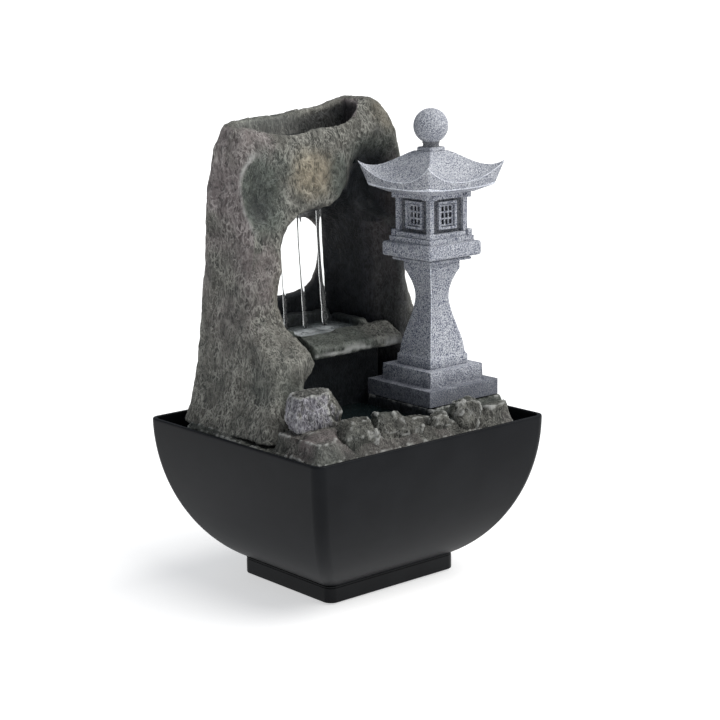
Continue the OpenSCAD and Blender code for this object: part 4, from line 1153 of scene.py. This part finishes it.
# firebox: base moulding in two layers, recessed walls, corner posts, window frames and crossed beams
fire = box_obj("lantern_house", LX - 16, LX + 16, LY - 16, LY + 16, 182.6, 185.4)
parts = [
    box_obj("t", LX - 14.5, LX + 14.5, LY - 14.5, LY + 14.5, 185.0, 187.9),
    box_obj("t", LX - 11.6, LX + 11.6, LY - 11.6, LY + 11.6, 187.0, 207.5),
    box_obj("t", LX - 13.2, LX + 13.2, LY - 13.2, LY + 13.2, 206.9, 209.0),
]
for sx in (-1, 1):
    for sy in (-1, 1):
        parts.append(box_obj("t", *sorted((LX + sx * 10.6, LX + sx * 13.55)), *sorted((LY + sy * 10.6, LY + sy * 13.55)), 186, 207.5))
        parts.append(box_obj("t", *sorted((LX + sx * 12.4, LX + sx * 15.3)), *sorted((LY + sy * 12.4, LY + sy * 15.3)), 184.5, 188.9))
for s in (-1, 1):
    parts.append(box_obj("t", LX - 16.2, LX + 16.2, LY + s * 12.1 - 1.55, LY + s * 12.1 + 1.55, 206.2, 208.8))
    parts.append(box_obj("t", LX + s * 12.1 - 1.57, LX + s * 12.1 + 1.57, LY - 16.2, LY + 16.2, 206.22, 208.82))
for a in range(4):
    c, s = round(math.cos(a * math.pi / 2)), round(math.sin(a * math.pi / 2))
    hw, hh = 6.5, 7.4
    x0, x1, y0, y1 = -hw, hw, -13.0, -11.0
    xs = sorted((c * x0 - s * y0, c * x1 - s * y1))
    ys = sorted((s * x0 + c * y0, s * x1 + c * y1))
    parts.append(box_obj("t", LX + xs[0], LX + xs[1], LY + ys[0], LY + ys[1], 197.3 - hh, 197.3 + hh))
for o in parts:
    fire = boolean(fire, o, "UNION")
cut = box_obj("t", LX - 9.6, LX + 9.6, LY - 9.6, LY + 9.6, 188.5, 205.5)
fire = boolean(fire, cut)
for a in (0, 1):
    hx, hy = (4.9, 20) if a == 0 else (20, 4.9)
    fire = boolean(fire, box_obj("t", LX - hx, LX + hx, LY - hy, LY + hy, 197.3 - 6.1, 197.3 + 6.1))
# the bevel faces take the paler granite: painted highlight on the arrises
bevel(fire, 0.35, 2, 40, mat=1)
stone(fire, "lantern_firebox")
# the recessed walls and the inside of the lamp chamber take the dark copy of the granite: partly painted dark, partly
# painted shade
fire.data.materials.append(M_GRAN_DARK)
for poly in fire.data.polygons:
    c = poly.center / MM
    far = max(abs(c.x - LX), abs(c.y - LY))
    if poly.area > 2e-7 and 188.2 < c.z < 206.0 and (far < 9.8 or (abs(far - 11.6) < 0.06 and abs(poly.normal.z) < 0.1)):
        poly.material_index = 2

# lattice panels, three by three openings
bm = bmesh.new()
xs = [-4.6, -3.75, -1.75, -1.0, 1.0, 1.75, 3.75, 4.6]
zs = [-5.5, -4.55, -1.95, -1.05, 1.55, 2.45, 5.05, 6.0]
for a in range(4):
    rot = Matrix.Rotation(a * math.pi / 2, 4, "Z")
    vv = {}
    for k, y in enumerate((-11.9, -10.9)):
        for i, x in enumerate(xs):
            for j, z in enumerate(zs):
                v = rot @ Vector((x, y, z))
                vv[i, j, k] = bm.verts.new(((LX + v.x) * MM, (LY + v.y) * MM, (197 + v.z) * MM))
    open_ = {(i, j) for i in (1, 3, 5) for j in (1, 3, 5)}
    solid = [(i, j) for i in range(7) for j in range(7) if (i, j) not in open_]
    for i, j in solid:
        bm.faces.new([vv[i, j, 0], vv[i + 1, j, 0], vv[i + 1, j + 1, 0], vv[i, j + 1, 0]])
        bm.faces.new([vv[i, j, 1], vv[i, j + 1, 1], vv[i + 1, j + 1, 1], vv[i + 1, j, 1]])
        for di, dj, e in ((-1, 0, ((i, j + 1), (i, j))), (1, 0, ((i + 1, j), (i + 1, j + 1))), (0, -1, ((i, j), (i + 1, j))), (0, 1, ((i + 1, j + 1), (i, j + 1)))):
            ni, nj = i + di, j + dj
            if (ni, nj) in open_ or not (0 <= ni < 7 and 0 <= nj < 7):
                (p, q), (r_, s_) = e
                bm.faces.new([vv[p, q, 0], vv[p, q, 1], vv[r_, s_, 1], vv[r_, s_, 0]])
lattice = from_bm("lantern_windows", bm)
# the bevel faces take the paler granite: painted highlight on the arrises
bevel(lattice, 0.16, 2, 40, mat=1)
# thin dark back behind the bars: dark paint in the blind recess, partly painted shade
back_bm = bmesh.new()
for a in range(4):
    c, s = round(math.cos(a * math.pi / 2)), round(math.sin(a * math.pi / 2))
    xs = sorted((-s * -10.85, c * 4.85 - s * -10.25, c * -4.85 - s * -10.85))
    ys = sorted((c * -10.85, s * 4.85 + c * -10.25, s * -4.85 + c * -10.85))
    box_bm(back_bm, LX + xs[0], LX + xs[-1], LY + ys[0], LY + ys[-1], 191.3, 203.3)
back_plate = from_bm("t", back_bm)
give(back_plate, M_DARK)
n_bars = len(lattice.data.polygons)
lattice = join("lantern_windows", [lattice, back_plate])
stone(lattice, "lantern_lattices")
lattice.data.materials.append(M_DARK)
for i, poly in enumerate(lattice.data.polygons):
    if i >= n_bars:
        poly.material_index = 2

# roof
NU, NT = 36, 26


def roof_xy(k):
    s, u = divmod(k, NU)
    u = u / NU * 2 - 1
    # points gather towards the corners
    u = math.copysign(abs(u) ** 0.85, u)
    p = ((u, -1), (1, u), (-u, 1), (-1, -u))[s]
    return p, abs(u) ** 2.6, abs(u)


rings = []
cols = [roof_xy(k) for k in range(4 * NU)]


def roof_pt(k, t, dz=0.0):
    (px, py), c, au = cols[k]
    h = (6.4 + 18.8 * t) * (1 + 0.1 * c * t)
    hip = 0.6 * math.exp(-(((1 - au) * (6.4 + 18.8 * t)) / 1.1) ** 2) * (0.35 + 0.65 * t)
    z = 230.6 - 14.8 * (1 - (1 - t) ** 1.8 * (1 + 1.2 * t)) + c * 9.4 * t**2.4 + hip + dz
    return (LX + px * h, LY + py * h, z)


def eave_pt(k, w):
    """From the upper edge of the fascia, w = 0, down to its lower edge, w = 1."""
    (px, py), c, au = cols[k]
    a = roof_pt(k, 1.0)
    h = 24 - 0.2 * c
    b = (LX + px * h, LY + py * h, 211.8 + 0.9 * c)
    return tuple(a[i] + (b[i] - a[i]) * w for i in range(3))


for t in (0.0, *np.linspace(0.012, 0.985, NT)):
    rings.append([roof_pt(k, t) for k in range(4 * NU)])
rings.append([roof_pt(k, 1.0, -0.12) for k in range(4 * NU)])
for w in (0.06, 0.15, 0.5, 0.88, 0.97):
    rings.append([eave_pt(k, w) for k in range(4 * NU)])
low = [eave_pt(k, 1.0) for k in range(4 * NU)]
for w in (0.04, 0.1, 0.5, 0.95, 1.0):
    r = []
    for k in range(4 * NU):
        (px, py), c, au = cols[k]
        a = low[k]
        b = (LX + px * 16.2, LY + py * 16.2, 209.0)
        r.append(tuple(a[i] + (b[i] - a[i]) * w for i in range(3)))
    rings.append(r)
rings.reverse()
roof = loft("lantern_canopy", rings)
me = roof.data
me.materials.append(M_GRAN)
me.materials.append(M_GRAN_HIGHLIGHT)
# painted highlight: the thin rounded arrises along the top and bottom of the eave get the paler granite
vz = np.zeros(len(me.vertices) * 3, F32)
me.vertices.foreach_get("co", vz)
stone(roof, "lantern_roof")
n_ring = 4 * NU
mats = np.zeros(len(me.polygons), np.int32)
n_low = 5
for row in (n_low - 1, n_low, n_low + 4, n_low + 5):
    mats[row * n_ring : (row + 1) * n_ring] = 1
me.polygons.foreach_set("material_index", mats)

# finial: square pedestal, neck and ball
ball_pts = [(5.4, 230.3), (5.45, 230.9), (5.4, 232.2), (5.0, 232.8)]
ped = loft("lantern_ball", [sq_ring(h, z, 0.7, 3) for h, z in ball_pts])
prof = []
for a in np.linspace(0, 1, 6):
    prof.append((4.75 - 0.55 * math.sin(a * math.pi), 232.6 + a * 2.6))
for a in np.linspace(-62, 89.0, 40):
    prof.append((9.3 * math.cos(math.radians(a)), 243.8 + 9.3 * math.sin(math.radians(a))))
ang = np.linspace(0, 2 * math.pi, 64, endpoint=False)
ball = loft("tmp", [np.stack([LX + r * np.cos(ang), LY + r * np.sin(ang), np.full(64, z)], 1) for r, z in prof])
ped = join("lantern_ball", [ped, ball])
ped.data.polygons.foreach_set("use_smooth", np.full(len(ped.data.polygons), True))
stone(ped, "lantern_finial")
# painted shade: the neck under the ball takes the dark copy of the granite
ped.data.materials.append(M_GRAN_DARK)
for poly in ped.data.polygons:
    if 232.7 < poly.center.z / MM < 235.4 and math.hypot(poly.center.x / MM - LX, poly.center.y / MM - LY) < 4.9:
        poly.material_index = 2


# ------------------------------------------------------------------ bowl
RIM, FLOOR = 88.5, 12.5


def inset(z):
    return 50 * (1 - math.sqrt(max(0.0, 1 - ((88.7 - z) / 82) ** 2)))


def bowl_ring(z, off, r=None):
    hx, hy = 80 - inset(z) - off, 73 - inset(z) - off
    r = max(6 - off * 0.6, 2.2) if r is None else r
    return sq_ring(hx, z, r, 10, 0, 0, hy)


outer_z = [10.0, *np.linspace(10.6, 40, 16), *np.linspace(43, 86.9, 16)]
rings = [bowl_ring(z, 0) for z in outer_z]
rings += [bowl_ring(87.9, 0.06), bowl_ring(88.35, 0.35), bowl_ring(88.5, 0.85), bowl_ring(88.5, 1.6), bowl_ring(88.3, 2.1), bowl_ring(87.8, 2.4)]
rings += [bowl_ring(z, 2.4) for z in (*np.linspace(86, 43, 14), *np.linspace(40, 17, 12), 14.6)]
rings += [bowl_ring(13.2, 3.2), bowl_ring(12.6, 5.0), bowl_ring(12.5, 8.0)]
bowl = loft("bowl_shell", rings)
# pad, seat and notch for the pump lead, at the back
for dims in ((25.6, 42.4, 67.2, 69.5, 60, 71), (25.6, 42.4, 67.2, 70.6, 70, 88.3)):
    bowl = boolean(bowl, box_obj("t", *dims), "UNION")
bowl = boolean(bowl, box_obj("t", 27.1, 40.9, 70.7, 80, 65.1, 110))
bowl = boolean(bowl, box_obj("t", 29.4, 38.6, 60, 80, 67.4, 110))
give(bowl, M_BOWL)
bowl.data.set_sharp_from_angle(angle=math.radians(38))
w = bowl.modifiers.new("wn", "WEIGHTED_NORMAL")
w.weight = 60
w.keep_sharp = True
apply_mods(bowl)
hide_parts("bowl")
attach(bowl, "fountain_bowl")

# foot with a fine seam under the bowl, hollow below with its cross rib
foot_r = [sq_ring(45, z, 5, 10, 0, 0, 37.5) for z in (1.5, 4, 8.2)]
foot_r = [sq_ring(44.4, 0.8, 5, 10, 0, 0, 36.9), sq_ring(44.85, 1.05, 5, 10, 0, 0, 37.35)] + foot_r + [sq_ring(44.9, 8.9, 5, 10, 0, 0, 37.4), sq_ring(44.6, 9.1, 5, 10, 0, 0, 37.1), sq_ring(44.6, 9.5, 5, 10, 0, 0, 37.1), sq_ring(45.0, 9.7, 5, 10, 0, 0, 37.5), sq_ring(45.0, 10.02, 5, 10, 0, 0, 37.5)]
foot = loft("bowl_stand", foot_r)
pocket = loft("t", [sq_ring(42, z, 3.5, 6, 0, 0, 34.5) for z in (-1, 7.5)], smooth=False)
for dims in ((-1.2, 1.2, -60, 60, -5, 20), (-60, 60, -1.2, 1.2, -5, 20)):
    pocket = boolean(pocket, box_obj("t", *dims))
for sx in (-1, 1):
    for sy in (-1, 1):
        pocket = boolean(pocket, cyl_obj("t", (36 * sx, 28.5 * sy, 5), (0, 0, 1), 7.4, 14, 40))
foot = boolean(foot, pocket)
for sx in (-1, 1):
    for sy in (-1, 1):
        foot = boolean(foot, cyl_obj("t", (36 * sx, 28.5 * sy, 0.95), (0, 0, 1), 5.5, 2.1, 40))
foot.data.set_sharp_from_angle(angle=math.radians(38))
w = foot.modifiers.new("wn", "WEIGHTED_NORMAL")
w.keep_sharp = True
apply_mods(foot)
give(foot, M_FOOT)
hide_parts("bowl_foot")
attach(foot, "fountain_bowl")

# pads
bm = bmesh.new()
pads = []
for sx in (-1, 1):
    for sy in (-1, 1):
        prof = [(4.4, 0.0), (4.75, 0.06), (5.0, 0.3), (5.3, 0.55), (5.4, 0.8), (5.4, 1.95)]
        pads.append(loft("t", [np.stack([36 * sx + r * np.cos(ang), 28.5 * sy + r * np.sin(ang), np.full(64, z)], 1) for r, z in prof]))
pads = join("stand_pads", pads)
pads.data.polygons.foreach_set("use_smooth", np.full(len(pads.data.polygons), True))
give(pads, M_RUBBER)
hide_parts("foot_pads")
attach(pads, "fountain_bowl")


# ------------------------------------------------------------------ water
def stream(name, pts, radii, seg=20):
    """A falling thread of water along points, with its own width at each."""
    p = np.array(pts, float)
    t = np.linspace(0, 1, 46)
    src = np.linspace(0, 1, len(p))
    c = np.stack([np.interp(t, src, p[:, i]) for i in range(3)], 1)
    for _ in range(6):
        c[1:-1] = (c[:-2] + 2 * c[1:-1] + c[2:]) / 4
    r = np.interp(t, np.linspace(0, 1, len(radii)), radii)
    r = r * (1 + 0.10 * np.sin(t * 38 + p[0, 0]) * t)
    a = np.linspace(0, 2 * math.pi, seg, endpoint=False)
    rings = [np.stack([c[i, 0] + r[i] * np.cos(a), c[i, 1] + r[i] * 0.85 * np.sin(a), np.full(seg, c[i, 2])], 1) for i in range(len(t))]
    o = loft(name, rings[::-1])
    give(o, M_STREAM)
    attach(o, "sculpture")
    return o


stream("water_thread_left", [(-28, 18, 196), (-27.8, 18, 180), (-27.2, 17.8, 160), (-26.5, 17.5, 136)], (1.45, 1.15, 0.95, 1.1))
stream("water_thread_middle", [(-16, 18, 203), (-15.6, 18, 182), (-14.6, 17.8, 160), (-13.2, 17.5, 136)], (1.45, 1.2, 1.0, 1.2))
stream("water_thread_right", [(-2.5, 18, 206.5), (-2.1, 18, 185), (-1.0, 17.8, 160), (0.6, 17.5, 136)], (1.5, 1.5, 1.5, 1.7))


def pool(name, outline, z, depth, mat, body, amp=0.12, seed=5, drops=()):
    """A body of still water: a rippled top over a flat underside, inside a rounded outline."""
    n = len(outline)
    c = np.array(outline, float).mean(0)
    o = np.array(outline, float)
    rings = []
    for s in np.linspace(0.05, 1, 22):
        xy = c + (o - c) * s
        p = np.concatenate([xy, np.full((n, 1), z)], 1)
        p[:, 2] += amp * vnoise(np.concatenate([xy, np.zeros((n, 1))], 1), 5, seed)
        for dx, dy, a in drops:
            d = np.sqrt((xy[:, 0] - dx) ** 2 + (xy[:, 1] - dy) ** 2)
            p[:, 2] += a * np.cos(d * 1.6) * np.exp(-d / 6)
        rings.append(p)
    low = rings[-1].copy()
    low[:, 2] = z - depth
    rings.append(low)
    rings.reverse()
    ob = loft(name, rings)
    co = np.zeros(len(ob.data.vertices) * 3)
    ob.data.vertices.foreach_get("co", co)
    co = co.reshape(-1, 3) / MM
    # foam where the threads land, partly a painted reflection
    foam_and_reflection = np.zeros(len(co))
    for dx, dy, a in drops:
        foam_and_reflection = np.maximum(foam_and_reflection, 1.15 * np.exp(-((co[:, 0] - dx) ** 2 + (co[:, 1] - dy) ** 2) / 42.0))
    float_attr(ob, "foam_and_reflection", foam_and_reflection)
    give(ob, mat)
    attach(ob, body)
    return ob


def rounded(x0, x1, y0, y1, r, n=8):
    out = []
    for sx, sy, a0 in ((x1 - r, y0 + r, -90), (x1 - r, y1 - r, 0), (x0 + r, y1 - r, 90), (x0 + r, y0 + r, 180)):
        for i in range(n + 1):
            a = math.radians(a0 + 90 * i / n)
            out.append((sx + r * math.cos(a), sy + r * math.sin(a)))
    dense = []
    for i in range(len(out)):
        a, b = np.array(out[i]), np.array(out[(i + 1) % len(out)])
        k = max(1, int(np.linalg.norm(b - a) / 2.5))
        dense += [tuple(a + (b - a) * j / k) for j in range(k)]
    return dense


pool("middle_basin_water", rounded(-27.6, 17.6, 10.8, 32.6, 5), 134.6, 11.6, M_BASIN, "sculpture", 0.16, 5, ((-26.5, 17.5, 0.25), (-20.5, 16.5, 0.12), (-13.2, 17.5, 0.3), (0.6, 17.5, 0.35)))
pool("lower_pool_water", rounded(-38, 14.5, -49.5, 6.0, 6), 92.6, 4.4, M_POOL, "sculpture", 0.12, 7, ((2, -8, 0.2),))
pool("top_basin_water", rounded(-48.5, 24, 13.5, 29.5, 6), 229.5, 6.5, M_POOL, "sculpture", 0.06, 9)
pool("bowl_water", rounded(-74.6, 74.6, -67.6, 67.6, 4), 66.0, 0.8, M_POOL, "fountain_bowl", 0.08, 11)

# ------------------------------------------------------------------ CAD nodes that stay: materials and soft arrises
KEEP = {
    "lead_grommet": M_RUBBER, "pump_housing": M_PUMP, "stator_core": M_CORE, "stator_coil": M_COPPER, "pump_back_cap": M_PUMP,
    "rotor_shaft": M_STEEL, "shaft_bushes": M_RUBBER, "volute_plate": M_PUMP, "suction_cups": M_RUBBER, "impeller_wheel": M_PALE,
    "rotor_magnet": M_MAGNET, "strainer_cover": M_PUMP, "flow_dial": M_GREY, "support_legs": M_PUMP, "leg_bumpers": M_RUBBER,
    "water_spouts": M_PUMP, "pump_hose": M_VINYL, "riser_pipe": M_VINYL,
}
for name, mat in KEEP.items():
    give(NODES[name], mat)
for name in ("pump_housing", "strainer_cover", "pump_back_cap", "volute_plate", "flow_dial", "lead_grommet"):
    b = NODES[name].modifiers.new("arris", "BEVEL")
    b.width = 0.25 * MM
    b.segments = 2
    b.limit_method = "ANGLE"
    b.angle_limit = math.radians(40)

# ------------------------------------------------------------------ studio
bpy.ops.mesh.primitive_plane_add(size=90, location=(0, 0, cad_lo.z))
floor = bpy.context.object
floor.name = "studio_floor"
fm = Mat("studio_floor", 0.9)
fn = fm.noise(fm.tc, 4, 2.0, 0.5)
fm.colour(fm.mix(fn, (0.66, 0.66, 0.66), (0.67, 0.67, 0.67)))
fm.bsdf.inputs["Specular IOR Level"].default_value = 0.0
fm.bsdf.inputs["Emission Color"].default_value = (1, 1, 1, 1)
fm.bsdf.inputs["Emission Strength"].default_value = 0.54
give(floor, fm.m)

world = bpy.data.worlds.new("studio")
SC.world = world
world.use_nodes = True
bg = world.node_tree.nodes["Background"]
bg.inputs["Color"].default_value = (0.90, 0.965, 1.06, 1)
bg.inputs["Strength"].default_value = 0.33

sun = bpy.data.lights.new("key", "SUN")
sun.energy = 3.6
sun.angle = math.radians(66)
sun.color = (1.0, 0.985, 0.96)
so = link(bpy.data.objects.new("key", sun))
d = Vector((0.40, -0.43, 0.81)).normalized()
so.rotation_mode = "QUATERNION"
so.rotation_quaternion = d.to_track_quat("Z", "Y")

SC.view_settings.view_transform = "Standard"
SC.view_settings.look = "None"
